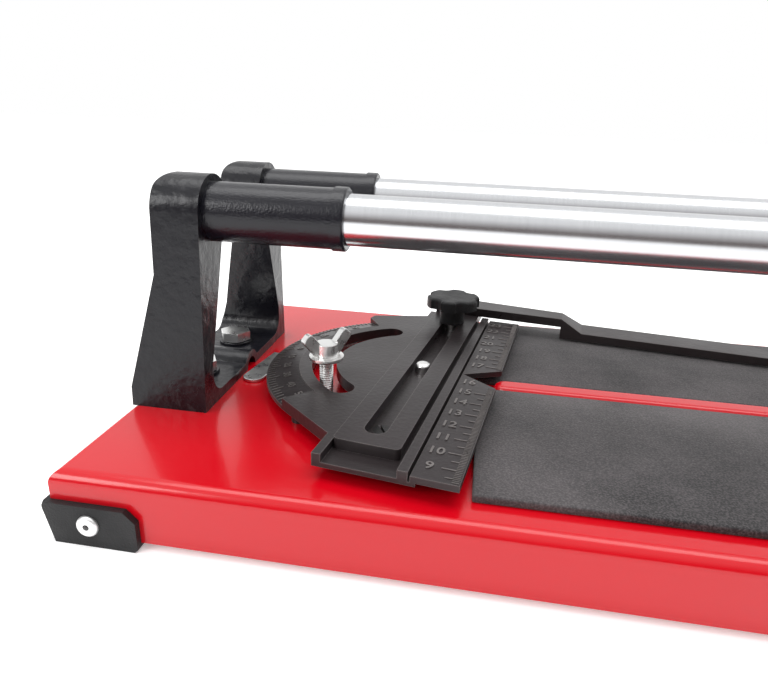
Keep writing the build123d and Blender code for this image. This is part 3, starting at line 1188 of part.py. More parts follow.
# Breaker foot: shallow roof-shaped saddle hung from two lugs, a soft pad under each wing
WING_BOTTOM = FOOT_PIVOT_DROP + SADDLE_DROP
WING_PEAK = 4.0
SADDLE_PLANE = Plane.YZ.offset(CARRIAGE_X + FOOT_PIVOT_X - SADDLE_HALF_X)
LUG_FOOT_HALF = 10.0
SADDLE_BOTTOM_Z = LEVER_Z - WING_BOTTOM
PAD_IN_SADDLE_Y = SADDLE_HALF_Y - SADDLE_PAD_WIDTH
SADDLE_PAD_INSET = 1.0
with BuildPart() as breaker_foot:
    with BuildSketch(SADDLE_PLANE):
        with BuildLine():
            Polyline(
                (0, SADDLE_BOTTOM_Z + WING_PEAK),
                (PAD_IN_SADDLE_Y, SADDLE_BOTTOM_Z),
                (SADDLE_HALF_Y, SADDLE_BOTTOM_Z),
                (SADDLE_HALF_Y, SADDLE_BOTTOM_Z + SADDLE_THICKNESS),
                (0, SADDLE_BOTTOM_Z + SADDLE_THICKNESS),
                close=True,
            )
        make_face()
        mirror(about=Plane.YZ)
    extrude(amount=2 * SADDLE_HALF_X)
    fillet(breaker_foot.edges().filter_by(Axis.Z), LUG_FOOT_HALF / 2)
    with BuildSketch(LEVER_SIDE):
        with BuildLine():
            Polyline(
                (FOOT_PIVOT_X - LUG_FOOT_HALF, -WING_BOTTOM + SADDLE_THICKNESS),
                (FOOT_PIVOT_X - FOOT_EYE_R, -FOOT_PIVOT_DROP),
                (FOOT_PIVOT_X + FOOT_EYE_R, -FOOT_PIVOT_DROP),
                (FOOT_PIVOT_X + LUG_FOOT_HALF, -WING_BOTTOM + SADDLE_THICKNESS),
                close=True,
            )
        make_face()
        with Locations(FOOT_SPOT):
            Circle(FOOT_EYE_R)
    extrude(amount=SADDLE_LUG_OUT, both=True)
    with BuildSketch(LEVER_SIDE):
        with Locations((FOOT_PIVOT_X, -FOOT_PIVOT_DROP)):
            Rectangle(4 * FOOT_EYE_R, 2 * FOOT_EYE_R + 2 * SADDLE_LUG_GAP)
    extrude(amount=SADDLE_LUG_IN, both=True, mode=Mode.SUBTRACT)
    with BuildSketch(LEVER_SIDE):
        with Locations(FOOT_SPOT):
            Circle(FOOT_PIN_D / 2 + RUN_GAP)
    extrude(amount=SADDLE_LUG_OUT, both=True, mode=Mode.SUBTRACT)
breaker_foot.part.label = "breaker_foot"
export_step(breaker_foot.part, "parts/breaker_foot.step")

with BuildPart() as breaker_pads:
    with BuildSketch(Plane.XY.offset(SADDLE_BOTTOM_Z)):
        for side in (-1, 1):
            with Locations((CARRIAGE_X + FOOT_PIVOT_X, side * (SADDLE_HALF_Y + PAD_IN_SADDLE_Y) / 2)):
                Rectangle(2 * (SADDLE_HALF_X - SADDLE_PAD_INSET), SADDLE_PAD_WIDTH - 2 * SADDLE_PAD_INSET)
    extrude(amount=-SADDLE_PAD)
breaker_pads.part.label = "breaker_pads"
export_step(breaker_pads.part, "parts/breaker_pads.step")
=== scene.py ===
"""Looks of the manual tile cutter: materials, rounded edges, gauge marks, foam pads, studio."""
import json
from math import atan, cos, pi, radians, sin

import bpy
from mathutils import Matrix, Vector


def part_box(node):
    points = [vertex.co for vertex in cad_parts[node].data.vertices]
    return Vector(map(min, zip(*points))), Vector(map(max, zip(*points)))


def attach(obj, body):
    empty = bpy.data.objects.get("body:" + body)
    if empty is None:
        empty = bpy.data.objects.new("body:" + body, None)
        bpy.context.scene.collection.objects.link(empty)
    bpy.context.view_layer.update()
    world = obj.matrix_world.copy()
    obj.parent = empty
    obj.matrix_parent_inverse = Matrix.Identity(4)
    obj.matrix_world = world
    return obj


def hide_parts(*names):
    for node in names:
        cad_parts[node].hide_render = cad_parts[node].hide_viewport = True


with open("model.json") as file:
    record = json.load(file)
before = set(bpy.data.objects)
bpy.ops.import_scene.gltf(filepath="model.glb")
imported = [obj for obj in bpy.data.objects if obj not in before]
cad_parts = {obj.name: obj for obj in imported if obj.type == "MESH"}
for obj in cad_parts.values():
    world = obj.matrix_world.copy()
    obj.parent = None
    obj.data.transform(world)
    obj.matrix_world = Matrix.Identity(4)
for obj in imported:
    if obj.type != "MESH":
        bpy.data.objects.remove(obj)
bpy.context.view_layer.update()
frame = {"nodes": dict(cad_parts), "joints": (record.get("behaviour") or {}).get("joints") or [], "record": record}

# ---------------------------------------------------------------- red pan and breaker rib
# Folded steel pan with the breaker bar welded along its middle, sprayed together in one glossy
# red enamel. The paint shows a faint orange peel and a slightly softer shine where it was wiped.


def surface_group():
    """Effects shared by the finishes: fine grain, cloudy smudges and a mask of the outer edges."""
    group = bpy.data.node_groups.new("surface_effects", "ShaderNodeTree")
    for name, value in (("Grain scale", 900.0), ("Smudge scale", 18.0), ("Edge radius", 0.0006)):
        socket = group.interface.new_socket(name, in_out="INPUT", socket_type="NodeSocketFloat")
        socket.default_value = value
    for name in ("Grain", "Smudge", "Edge"):
        group.interface.new_socket(name, in_out="OUTPUT", socket_type="NodeSocketFloat")
    nodes, links = group.nodes, group.links
    given = nodes.new("NodeGroupInput")
    out = nodes.new("NodeGroupOutput")
    coords = nodes.new("ShaderNodeTexCoord")
    grain = nodes.new("ShaderNodeTexNoise")
    grain.inputs["Detail"].default_value = 3.0
    smudge = nodes.new("ShaderNodeTexNoise")
    smudge.inputs["Detail"].default_value = 6.0
    smudge.inputs["Roughness"].default_value = 0.62
    bevel = nodes.new("ShaderNodeBevel")
    bevel.samples = 6
    geometry = nodes.new("ShaderNodeNewGeometry")
    dot = nodes.new("ShaderNodeVectorMath")
    dot.operation = "DOT_PRODUCT"
    edge = nodes.new("ShaderNodeMapRange")
    edge.inputs["From Min"].default_value = 0.995
    edge.inputs["From Max"].default_value = 0.86
    links.new(coords.outputs["Object"], grain.inputs["Vector"])
    links.new(coords.outputs["Object"], smudge.inputs["Vector"])
    links.new(given.outputs["Grain scale"], grain.inputs["Scale"])
    links.new(given.outputs["Smudge scale"], smudge.inputs["Scale"])
    links.new(given.outputs["Edge radius"], bevel.inputs["Radius"])
    links.new(bevel.outputs["Normal"], dot.inputs[0])
    links.new(geometry.outputs["Normal"], dot.inputs[1])
    links.new(dot.outputs["Value"], edge.inputs["Value"])
    links.new(grain.outputs["Fac"], out.inputs["Grain"])
    links.new(smudge.outputs["Fac"], out.inputs["Smudge"])
    links.new(edge.outputs["Result"], out.inputs["Edge"])
    return group


surface_effects = surface_group()


def finish_material(name, colour, rough, metal=0.0, coat=0.0, grain_scale=900.0, grain_bump=0.05,
                    smudge_scale=18.0, shade=0.25, edge_wear_and_highlight_colour=None, edge_wear_and_highlight_amount=0.0, sheen=0.0,
                    gloss=0.5):
    """A finish with two-tone smudges, uneven roughness, a grain bump and optional lighter edges: edge wear and a
    painted edge highlight.
    """
    material = bpy.data.materials.new(name)
    material.use_nodes = True
    nodes, links = material.node_tree.nodes, material.node_tree.links
    shader = nodes["Principled BSDF"]
    shader.inputs["Metallic"].default_value = metal
    shader.inputs["Coat Weight"].default_value = coat
    shader.inputs["Coat Roughness"].default_value = 0.06
    shader.inputs["Sheen Weight"].default_value = sheen
    shader.inputs["Specular IOR Level"].default_value = gloss
    effects = nodes.new("ShaderNodeGroup")
    effects.node_tree = surface_effects
    effects.inputs["Grain scale"].default_value = grain_scale
    effects.inputs["Smudge scale"].default_value = smudge_scale
    tone = nodes.new("ShaderNodeMix")
    tone.data_type = "RGBA"
    tone.inputs["A"].default_value = (*[c * (1 - shade) for c in colour], 1)
    tone.inputs["B"].default_value = (*[min(1, c * (1 + shade)) for c in colour], 1)
    links.new(effects.outputs["Smudge"], tone.inputs["Factor"])
    base = tone.outputs["Result"]
    # Optional lighter tint on the outer edges, broken up by the smudges: edge wear, and a painted edge highlight.
    if edge_wear_and_highlight_colour:
        worn_and_lit_edges = nodes.new("ShaderNodeMix")
        worn_and_lit_edges.data_type = "RGBA"
        worn_and_lit_edges.inputs["B"].default_value = (*edge_wear_and_highlight_colour, 1)
        amount = nodes.new("ShaderNodeMath")
        amount.operation = "MULTIPLY"
        amount.inputs[1].default_value = edge_wear_and_highlight_amount
        broken = nodes.new("ShaderNodeMath")
        broken.operation = "MULTIPLY"
        links.new(effects.outputs["Edge"], broken.inputs[0])
        links.new(effects.outputs["Smudge"], broken.inputs[1])
        links.new(broken.outputs["Value"], amount.inputs[0])
        links.new(amount.outputs["Value"], worn_and_lit_edges.inputs["Factor"])
        links.new(base, worn_and_lit_edges.inputs["A"])
        base = worn_and_lit_edges.outputs["Result"]
    links.new(base, shader.inputs["Base Color"])
    roughness = nodes.new("ShaderNodeMapRange")
    roughness.inputs["From Min"].default_value = 0.3
    roughness.inputs["From Max"].default_value = 0.7
    roughness.inputs["To Min"].default_value = rough * 0.8
    roughness.inputs["To Max"].default_value = min(1.0, rough * 1.25)
    links.new(effects.outputs["Smudge"], roughness.inputs["Value"])
    links.new(roughness.outputs["Result"], shader.inputs["Roughness"])
    bump = nodes.new("ShaderNodeBump")
    bump.inputs["Strength"].default_value = grain_bump
    bump.inputs["Distance"].default_value = 0.0005
    links.new(effects.outputs["Grain"], bump.inputs["Height"])
    links.new(bump.outputs["Normal"], shader.inputs["Normal"])
    return material


bodies = frame["record"]["behaviour"]["bodies"]
body_of = {node: body for body, nodes in bodies.items() for node in nodes}
MM = 0.001
SAME_POINT = 0.002 * MM
FLAT_ENOUGH = radians(0.4)
SMOOTH_UP_TO = radians(32)


def clean_piece(node, material, width, segments=2, angle=30.0):
    """A smooth-shaded twin of a piece with its sharp edges broken by a small radius."""
    bpy.ops.object.select_all(action="DESELECT")
    mesh = frame["nodes"][node].data.copy()
    piece = bpy.data.objects.new(node + "_finished", mesh)
    bpy.context.scene.collection.objects.link(piece)
    bpy.context.view_layer.objects.active = piece
    piece.select_set(True)
    bpy.ops.mesh.customdata_custom_splitnormals_clear()
    bpy.ops.object.mode_set(mode="EDIT")
    bpy.ops.mesh.select_all(action="SELECT")
    bpy.ops.mesh.remove_doubles(threshold=SAME_POINT)
    bpy.ops.mesh.dissolve_limited(angle_limit=FLAT_ENOUGH)
    bpy.ops.object.mode_set(mode="OBJECT")
    if width:
        bevel = piece.modifiers.new("edges", "BEVEL")
        bevel.width = width
        bevel.segments = segments
        bevel.limit_method = "ANGLE"
        bevel.angle_limit = radians(angle)
        bpy.ops.object.modifier_apply(modifier="edges")
    bpy.ops.object.shade_smooth_by_angle(angle=SMOOTH_UP_TO)
    weighted = piece.modifiers.new("flat_faces", "WEIGHTED_NORMAL")
    weighted.keep_sharp = True
    bpy.ops.object.modifier_apply(modifier="flat_faces")
    piece.data.materials.clear()
    piece.data.materials.append(material)
    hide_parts(node)
    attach(piece, body_of[node])
    return piece


red_enamel = finish_material("red_enamel", (0.56, 0.001, 0.008), 0.20, coat=0.2, gloss=0.45,
                             grain_scale=260.0, grain_bump=0.10, smudge_scale=9.0, shade=0.06)
clean_piece("base_tray", red_enamel, 0.0003)
clean_piece("breaker_rib", red_enamel, 0.0)

# ---------------------------------------------------------------- rail brackets
# Sand-cast U-shaped brackets in thick black paint: satin shine over a lumpy cast skin, with the
# sharp edges rounded over by the paint.
black_casting = finish_material("black_casting", (0.005, 0.005, 0.008), 0.30, coat=0.12, gloss=0.30,
                                grain_scale=230.0, grain_bump=0.85, smudge_scale=30.0, shade=0.3,
                                edge_wear_and_highlight_colour=(0.03, 0.03, 0.03), edge_wear_and_highlight_amount=0.6)
for bracket in ("left_rail_bracket", "right_rail_bracket"):
    clean_piece(bracket, black_casting, 0.0008, segments=3)

# ---------------------------------------------------------------- rails and stop sleeves
# Drawn steel tubes, ground and hard-chromed. Fine rings from the grinding run round the tube,
# so highlights streak along it.


def rail_chrome():
    """Hard chrome with fine grinding rings round the tube and a thin uneven haze."""
    material = bpy.data.materials.new("rail_chrome")
    material.use_nodes = True
    nodes, links = material.node_tree.nodes, material.node_tree.links
    shader = nodes["Principled BSDF"]
    shader.inputs["Metallic"].default_value = 1.0
    coords = nodes.new("ShaderNodeTexCoord")
    mapping = nodes.new("ShaderNodeMapping")
    mapping.inputs["Scale"].default_value = (2600.0, 60.0, 60.0)
    rings = nodes.new("ShaderNodeTexNoise")
    rings.inputs["Scale"].default_value = 1.0
    rings.inputs["Detail"].default_value = 2.0
    haze = nodes.new("ShaderNodeTexNoise")
    haze.inputs["Scale"].default_value = 14.0
    haze.inputs["Detail"].default_value = 5.0
    rough = nodes.new("ShaderNodeMapRange")
    rough.inputs["To Min"].default_value = 0.16
    rough.inputs["To Max"].default_value = 0.30
    tone = nodes.new("ShaderNodeMix")
    tone.data_type = "RGBA"
    tone.inputs["A"].default_value = (0.60, 0.61, 0.63, 1)
    tone.inputs["B"].default_value = (0.70, 0.71, 0.73, 1)
    bump = nodes.new("ShaderNodeBump")
    bump.inputs["Strength"].default_value = 0.05
    bump.inputs["Distance"].default_value = 0.0002
    links.new(coords.outputs["Object"], mapping.inputs["Vector"])
    links.new(mapping.outputs["Vector"], rings.inputs["Vector"])
    links.new(coords.outputs["Object"], haze.inputs["Vector"])
    links.new(haze.outputs["Fac"], rough.inputs["Value"])
    links.new(rough.outputs["Result"], shader.inputs["Roughness"])
    links.new(rings.outputs["Fac"], tone.inputs["Factor"])
    links.new(tone.outputs["Result"], shader.inputs["Base Color"])
    links.new(rings.outputs["Fac"], bump.inputs["Height"])
    links.new(bump.outputs["Normal"], shader.inputs["Normal"])
    return material


chrome = rail_chrome()
for tube in ("front_rail", "rear_rail", "handle_tube"):
    clean_piece(tube, chrome, 0.0)

# Moulded sleeves pushed over the rail ends, smooth black plastic with a soft shine.
sleeve_plastic = finish_material("sleeve_plastic", (0.007, 0.007, 0.011), 0.20, coat=0.1, gloss=0.35,
                                 grain_scale=1400.0, grain_bump=0.35, smudge_scale=40.0, shade=0.25)
clean_piece("stop_sleeves", sleeve_plastic, 0.0)

# ---------------------------------------------------------------- corner feet and rivets
# Matt black mouldings gripping the pan's edge, each held by an aluminium blind rivet.
foot_plastic = finish_material("foot_plastic", (0.010, 0.010, 0.011), 0.55, gloss=0.35, grain_scale=1500.0,
                               grain_bump=0.35, smudge_scale=60.0, shade=0.3)
clean_piece("corner_feet", foot_plastic, 0.0007)
rivet_metal = finish_material("rivet_metal", (0.80, 0.80, 0.80), 0.38, metal=0.85, grain_scale=1200.0,
                              grain_bump=0.12, smudge_scale=160.0, shade=0.12)
clean_piece("foot_rivets", rivet_metal, 0.0)

# ---------------------------------------------------------------- zinc-plated fasteners
# Bright zinc-plated steel: bolts, nuts, clamp stud, wing nut, angle pointer, screws and pins.
zinc_plate = finish_material("zinc_plate", (0.86, 0.86, 0.85), 0.30, metal=1.0, grain_scale=1600.0,
                             grain_bump=0.07, smudge_scale=240.0, shade=0.12)
for fastener, width in (("bracket_bolts", 0.0006), ("bracket_nuts", 0.0004), ("pivot_bolt", 0.0003),
                        ("pivot_nut", 0.0), ("angle_pointer", 0.0004), ("wing_nut", 0.0005),
                        ("fence_clamp_bolt", 0.0003), ("fence_screws", 0.0), ("lever_pin", 0.0),
                        ("lever_pin_clips", 0.0002), ("handle_pin", 0.0003), ("wheel_axle", 0.0003),
                        ("wheel_axle_nut", 0.0003), ("foot_pin", 0.0003), ("foot_pin_clips", 0.0002)):
    clean_piece(fastener, zinc_plate, width)

# Washers painted over with the brackets, and the channel's countersunk screw in black oxide.
black_oxide = finish_material("black_oxide", (0.025, 0.024, 0.024), 0.34, metal=0.6, grain_scale=1500.0,
                              grain_bump=0.2, smudge_scale=260.0, shade=0.35)
clean_piece("bracket_washers", black_casting, 0.0002)
clean_piece("channel_screw", black_oxide, 0.0)

# Clamp stud: rolled M6 thread over its whole free length, turned round head under the pan.
STUD_CORE_R = 2.62 * MM
STUD_HEAD_R = 6.0 * MM
STUD_HEAD_HEIGHT = 3.0 * MM
THREAD_PITCH = 1.0 * MM
THREAD_ROOT_R = 2.58 * MM
THREAD_CREST_R = 2.98 * MM
CREST_FLAT = 0.16 * MM
stud_low, stud_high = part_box("clamp_stud")
stud_x = (stud_low.x + stud_high.x) / 2
stud_y = (stud_low.y + stud_high.y) / 2
head_top = stud_low.z + STUD_HEAD_HEIGHT
turns = int((stud_high.z - head_top) / THREAD_PITCH) - 1
bpy.ops.mesh.primitive_cylinder_add(vertices=40, radius=STUD_CORE_R, depth=stud_high.z - head_top,
                                    location=(stud_x, stud_y, (stud_high.z + head_top) / 2))
stud_core = bpy.context.object
bpy.ops.mesh.primitive_cylinder_add(vertices=48, radius=STUD_HEAD_R, depth=STUD_HEAD_HEIGHT,
                                    location=(stud_x, stud_y, head_top - STUD_HEAD_HEIGHT / 2))
stud_head = bpy.context.object
tooth = bpy.data.meshes.new("stud_thread")
tooth.from_pydata([(THREAD_ROOT_R, 0, 0), (THREAD_CREST_R, 0, (THREAD_PITCH - CREST_FLAT) / 2),
                   (THREAD_CREST_R, 0, (THREAD_PITCH + CREST_FLAT) / 2),
                   (THREAD_ROOT_R, 0, THREAD_PITCH)],
                  [(0, 1), (1, 2), (2, 3)], [])
stud_thread = bpy.data.objects.new("stud_thread", tooth)
bpy.context.scene.collection.objects.link(stud_thread)
stud_thread.location = (stud_x, stud_y, head_top)
helix = stud_thread.modifiers.new("helix", "SCREW")
helix.screw_offset = THREAD_PITCH
helix.iterations = turns
helix.steps = 24
helix.render_steps = 24
helix.use_merge_vertices = True
helix.merge_threshold = 0.01 * MM
bpy.ops.object.select_all(action="DESELECT")
stud_thread.select_set(True)
bpy.context.view_layer.objects.active = stud_thread
bpy.ops.object.modifier_apply(modifier="helix")
stud_core.select_set(True)
stud_head.select_set(True)
bpy.context.view_layer.objects.active = stud_core
bpy.ops.object.join()
bpy.ops.object.transform_apply(location=True, rotation=True, scale=True)
bpy.ops.object.shade_smooth_by_angle(angle=radians(30))
clamp_stud_threaded = bpy.context.object
clamp_stud_threaded.name = "clamp_stud_threaded"
clamp_stud_threaded.data.materials.clear()
clamp_stud_threaded.data.materials.append(zinc_plate)
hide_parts("clamp_stud")
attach(clamp_stud_threaded, "base")

# ---------------------------------------------------------------- foam pads
# Closed-cell foam mats glued on both sides of the rib: dark grey, matt, with a fine pebbled skin
# whose sparkle is painted into the colour as pale points, cloudy patches from handling, cut edges slightly
# rounded.


def foam_skin():
    """Pebbled foam: pale points over a dark ground as a painted sparkle of glints, broken into cloudy patches."""
    material = bpy.data.materials.new("foam_pad")
    material.use_nodes = True
    nodes, links = material.node_tree.nodes, material.node_tree.links
    shader = nodes["Principled BSDF"]
    shader.inputs["Roughness"].default_value = 0.8
    shader.inputs["Sheen Weight"].default_value = 0.15
    effects = nodes.new("ShaderNodeGroup")
    effects.node_tree = surface_effects
    effects.inputs["Grain scale"].default_value = 1500.0
    effects.inputs["Smudge scale"].default_value = 17.0
    # Pale points from the grain: a painted sparkle standing in for glints on the pebbled skin.
    painted_sparkle = nodes.new("ShaderNodeMapRange")
    painted_sparkle.inputs["From Min"].default_value = 0.42
    painted_sparkle.inputs["From Max"].default_value = 0.72
    painted_sparkle.inputs["To Max"].default_value = 0.70
    patches = nodes.new("ShaderNodeMapRange")
    patches.inputs["From Min"].default_value = 0.40
    patches.inputs["From Max"].default_value = 0.62
    patches.inputs["To Min"].default_value = 0.0
    patches.inputs["To Max"].default_value = 0.42
    total = nodes.new("ShaderNodeMath")
    total.operation = "ADD"
    total.use_clamp = True
    tone = nodes.new("ShaderNodeMix")
    tone.data_type = "RGBA"
    tone.inputs["A"].default_value = (0.011, 0.010, 0.011, 1)
    tone.inputs["B"].default_value = (0.100, 0.089, 0.092, 1)
    bump = nodes.new("ShaderNodeBump")
    bump.inputs["Strength"].default_value = 0.8
    bump.inputs["Distance"].default_value = 0.0003
    links.new(effects.outputs["Grain"], painted_sparkle.inputs["Value"])
    links.new(effects.outputs["Smudge"], patches.inputs["Value"])
    links.new(painted_sparkle.outputs["Result"], total.inputs[0])
    links.new(patches.outputs["Result"], total.inputs[1])
    links.new(total.outputs["Value"], tone.inputs["Factor"])
    links.new(tone.outputs["Result"], shader.inputs["Base Color"])
    links.new(effects.outputs["Grain"], bump.inputs["Height"])
    links.new(bump.outputs["Normal"], shader.inputs["Normal"])
    return material


foam = foam_skin()


def foam_pad(node):
    """A foam mat of the CAD pad's size, with its cut edges slightly rounded."""
    low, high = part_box(node)
    bpy.ops.object.select_all(action="DESELECT")
    bpy.ops.mesh.primitive_cube_add(size=1.0, location=(low + high) / 2, scale=high - low)
    pad = bpy.context.object
    pad.name = node + "_foam"
    bpy.ops.object.transform_apply(location=True, rotation=True, scale=True)
    bpy.ops.object.mode_set(mode="EDIT")
    bpy.ops.mesh.select_all(action="SELECT")
    bpy.ops.mesh.bevel(offset=0.7 * MM, segments=3)
    bpy.ops.object.mode_set(mode="OBJECT")
    bpy.ops.object.shade_smooth_by_angle(angle=radians(40))
    pad.data.materials.append(foam)
    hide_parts(node)
    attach(pad, "base")


foam_pad("front_pad")
foam_pad("rear_pad")

# ---------------------------------------------------------------- gauge, slider and fence
# Zinc die castings dyed black with an oily satin shine; handling has rubbed the marks to a warm grey.
# The raised edges are tinted warm grey too: partly rubbed wear, partly a painted edge highlight.
gauge_casting = finish_material("gauge_casting", (0.030, 0.024, 0.025), 0.34, metal=0.25, gloss=0.4,
                                grain_scale=520.0, grain_bump=0.22, smudge_scale=34.0, shade=0.35,
                                edge_wear_and_highlight_colour=(0.34, 0.31, 0.30), edge_wear_and_highlight_amount=0.55)
clean_piece("protractor_gauge", gauge_casting, 0.00015)
clean_piece("fence_slider", gauge_casting, 0.0004)
clean_piece("fence_bar", gauge_casting, 0.0007)

# Cast marks on the ruler and on the disc's sloping band: raised lines and numbers, tops rubbed
# bare. The ruler has a line every millimetre and longer ones at the halves and the centimetres.
mark_metal = finish_material("mark_metal", (0.17, 0.155, 0.15), 0.32, metal=0.6, grain_scale=1500.0,
                             grain_bump=0.2, smudge_scale=320.0, shade=0.5)
joints = {joint["name"]: joint for joint in frame["joints"]}
pivot = Vector(joints["gauge_swing"]["pos_m"])
along = Vector(joints["fence_slide"]["axis"]).normalized()
across = along.cross(Vector((0, 0, 1)))
disc_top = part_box("protractor_gauge")[1].z
MARK_HEIGHT = 0.34 * MM
MARK_SUNK = 0.05 * MM
RULER_TOP = disc_top - 1.2 * MM
NUMBER_SIZE = 6.2 * MM
NUMBER_V = 22.4 * MM
DEGREE_NUMBER_SIZE = 4.4 * MM
DEGREE_NUMBER_R = 60.4 * MM
DEGREE_LINE_OUT_R = 68.4 * MM
DEGREE_LINE_WIDTH = 0.5 * MM
BAND_IN_R = 55.0 * MM
BAND_FALL = 2.6 / 14.0
BAND_TOP = disc_top - 0.6 * MM


def gauge_place(v, u, z, turn=0.0, tilt=(0.0, "X")):
    """Places a mark on the gauge: v across the ruler, u along it, turned about Z, then tilted."""
    frame_matrix = Matrix((
        (across.x, along.x, 0, pivot.x),
        (across.y, along.y, 0, pivot.y),
        (0, 0, 1, 0),
        (0, 0, 0, 1),
    ))
    return (frame_matrix @ Matrix.Translation((v, u, z)) @ Matrix.Rotation(turn, 4, "Z")
            @ Matrix.Rotation(tilt[0], 4, tilt[1]))


def finish_mark(piece):
    """Puts a mark's place into its mesh and gives it the rubbed finish."""
    bpy.ops.object.select_all(action="DESELECT")
    piece.select_set(True)
    bpy.context.view_layer.objects.active = piece
    bpy.ops.object.transform_apply(location=True, rotation=True, scale=True)
    piece.data.materials.clear()
    piece.data.materials.append(mark_metal)
    return piece


def line_row(v0, v1, width, first_u, count, step):
    """A row of raised lines across the ruler's edge."""
    bpy.ops.object.select_all(action="DESELECT")
    bpy.ops.mesh.primitive_cube_add(size=1.0, scale=(v1 - v0, width, MARK_HEIGHT))
    row = bpy.context.object
    bpy.ops.object.transform_apply(scale=True)
    bpy.ops.object.mode_set(mode="EDIT")
    bpy.ops.mesh.bevel(offset=width * 0.25, segments=1)
    bpy.ops.object.mode_set(mode="OBJECT")
    array = row.modifiers.new("row", "ARRAY")
    array.use_relative_offset = False
    array.use_constant_offset = True
    array.constant_offset_displace = (0, step, 0)
    array.count = count
    bpy.ops.object.modifier_apply(modifier="row")
    row.matrix_world = gauge_place((v0 + v1) / 2, first_u, RULER_TOP + MARK_HEIGHT / 2 - MARK_SUNK)
    return finish_mark(row)


def number(text, size, v, u, z, turn=0.0, tilt=(0.0, "X")):
    """A raised number, centred on its place."""
    bpy.ops.object.select_all(action="DESELECT")
    bpy.ops.object.text_add()
    digits = bpy.context.object
    digits.data.body = text
    digits.data.size = size
    digits.data.align_x = "CENTER"
    digits.data.align_y = "CENTER"
    digits.data.extrude = MARK_HEIGHT / 2
    digits.data.offset = 0.10 * MM
    digits.data.resolution_u = 3
    bpy.ops.object.convert(target="MESH")
    digits = bpy.context.object
    digits.matrix_world = gauge_place(v, u, z + MARK_HEIGHT / 2 - MARK_SUNK, turn, tilt)
    return finish_mark(digits)


marks = [
    line_row(31.2 * MM, 33.6 * MM, 0.34 * MM, -86 * MM, 75, 1 * MM),
    line_row(31.2 * MM, 33.6 * MM, 0.34 * MM, 10 * MM, 69, 1 * MM),
    line_row(26.4 * MM, 31.4 * MM, 0.45 * MM, -79 * MM, 7, 10 * MM),
    line_row(28.6 * MM, 31.4 * MM, 0.42 * MM, -84 * MM, 7, 10 * MM),
    line_row(26.4 * MM, 31.4 * MM, 0.45 * MM, 11 * MM, 7, 10 * MM),
    line_row(28.6 * MM, 31.4 * MM, 0.42 * MM, 16 * MM, 7, 10 * MM),
]
for step in range(8):
    marks.append(number(str(16 - step), NUMBER_SIZE, NUMBER_V, (-9 - 10 * step) * MM, RULER_TOP))
for step in range(7):
    marks.append(number(str(17 + step), NUMBER_SIZE, NUMBER_V, (11 + 10 * step) * MM, RULER_TOP))
# Degree lines and numbers round the disc's sloping band, leaning outwards with it
fall_angle = atan(BAND_FALL)
for degree in range(130, 232, 2):
    tall = degree % 10 == 0
    reach = (5.0 if tall else 3.2) * MM
    bpy.ops.object.select_all(action="DESELECT")
    bpy.ops.mesh.primitive_cube_add(size=1.0, scale=(reach, DEGREE_LINE_WIDTH, MARK_HEIGHT))
    line = bpy.context.object
    bpy.ops.object.transform_apply(scale=True)
    radius = DEGREE_LINE_OUT_R - reach / 2
    angle = radians(degree)
    line_z = BAND_TOP - (radius - BAND_IN_R) * BAND_FALL + MARK_HEIGHT / 3
    line.matrix_world = gauge_place(radius * cos(angle), radius * sin(angle), line_z, angle,
                                    (fall_angle, "Y"))
    marks.append(finish_mark(line))
for degree in range(140, 231, 10):
    angle = radians(degree)
    number_z = BAND_TOP - (DEGREE_NUMBER_R - BAND_IN_R) * BAND_FALL
    marks.append(number(str(abs(180 - degree)), DEGREE_NUMBER_SIZE, DEGREE_NUMBER_R * cos(angle),
                        DEGREE_NUMBER_R * sin(angle), number_z, angle + pi / 2, (fall_angle, "X")))
bpy.ops.object.select_all(action="DESELECT")
for mark in marks:
    mark.select_set(True)
bpy.context.view_layer.objects.active = marks[0]
bpy.ops.object.join()
gauge_marks = bpy.context.object
gauge_marks.name = "gauge_marks"
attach(gauge_marks, "gauge")

# ---------------------------------------------------------------- clamp knob
# Moulded black knob with a brass thread insert, matt with a slight pebble.
knob_plastic = finish_material("knob_plastic", (0.009, 0.009, 0.010), 0.48, gloss=0.35, grain_scale=1100.0,
                               grain_bump=0.35, smudge_scale=90.0, shade=0.3)
clean_piece("clamp_knob", knob_plastic, 0.0005)
brass = finish_material("brass_insert", (0.72, 0.52, 0.22), 0.3, metal=1.0, grain_scale=1500.0,
                        grain_bump=0.1, smudge_scale=200.0, shade=0.15)
clean_piece("knob_insert", brass, 0.0)

# ---------------------------------------------------------------- carriage, lever and breaker foot
# Gravity castings in the same black paint as the brackets, on nylon bushes.
for casting, width in (("carriage_block", 0.0012), ("lever_arm", 0.0010), ("breaker_foot", 0.0008)):
    clean_piece(casting, black_casting, width)
nylon = finish_material("bush_nylon", (0.70, 0.68, 0.62), 0.5, grain_scale=900.0, grain_bump=0.1,
                        smudge_scale=80.0, shade=0.08)
clean_piece("rail_bushes", nylon, 0.0003)
carbide = finish_material("carbide", (0.36, 0.36, 0.37), 0.28, metal=1.0, grain_scale=1800.0,
                          grain_bump=0.15, smudge_scale=300.0, shade=0.12)
clean_piece("scoring_wheel", carbide, 0.0)
grip_rubber = finish_material("grip_rubber", (0.018, 0.018, 0.019), 0.72, grain_scale=1200.0,
                              grain_bump=0.6, smudge_scale=70.0, shade=0.3, sheen=0.2)
clean_piece("breaker_pads", grip_rubber, 0.0004)
clean_piece("handle_grip", grip_rubber, 0.0)

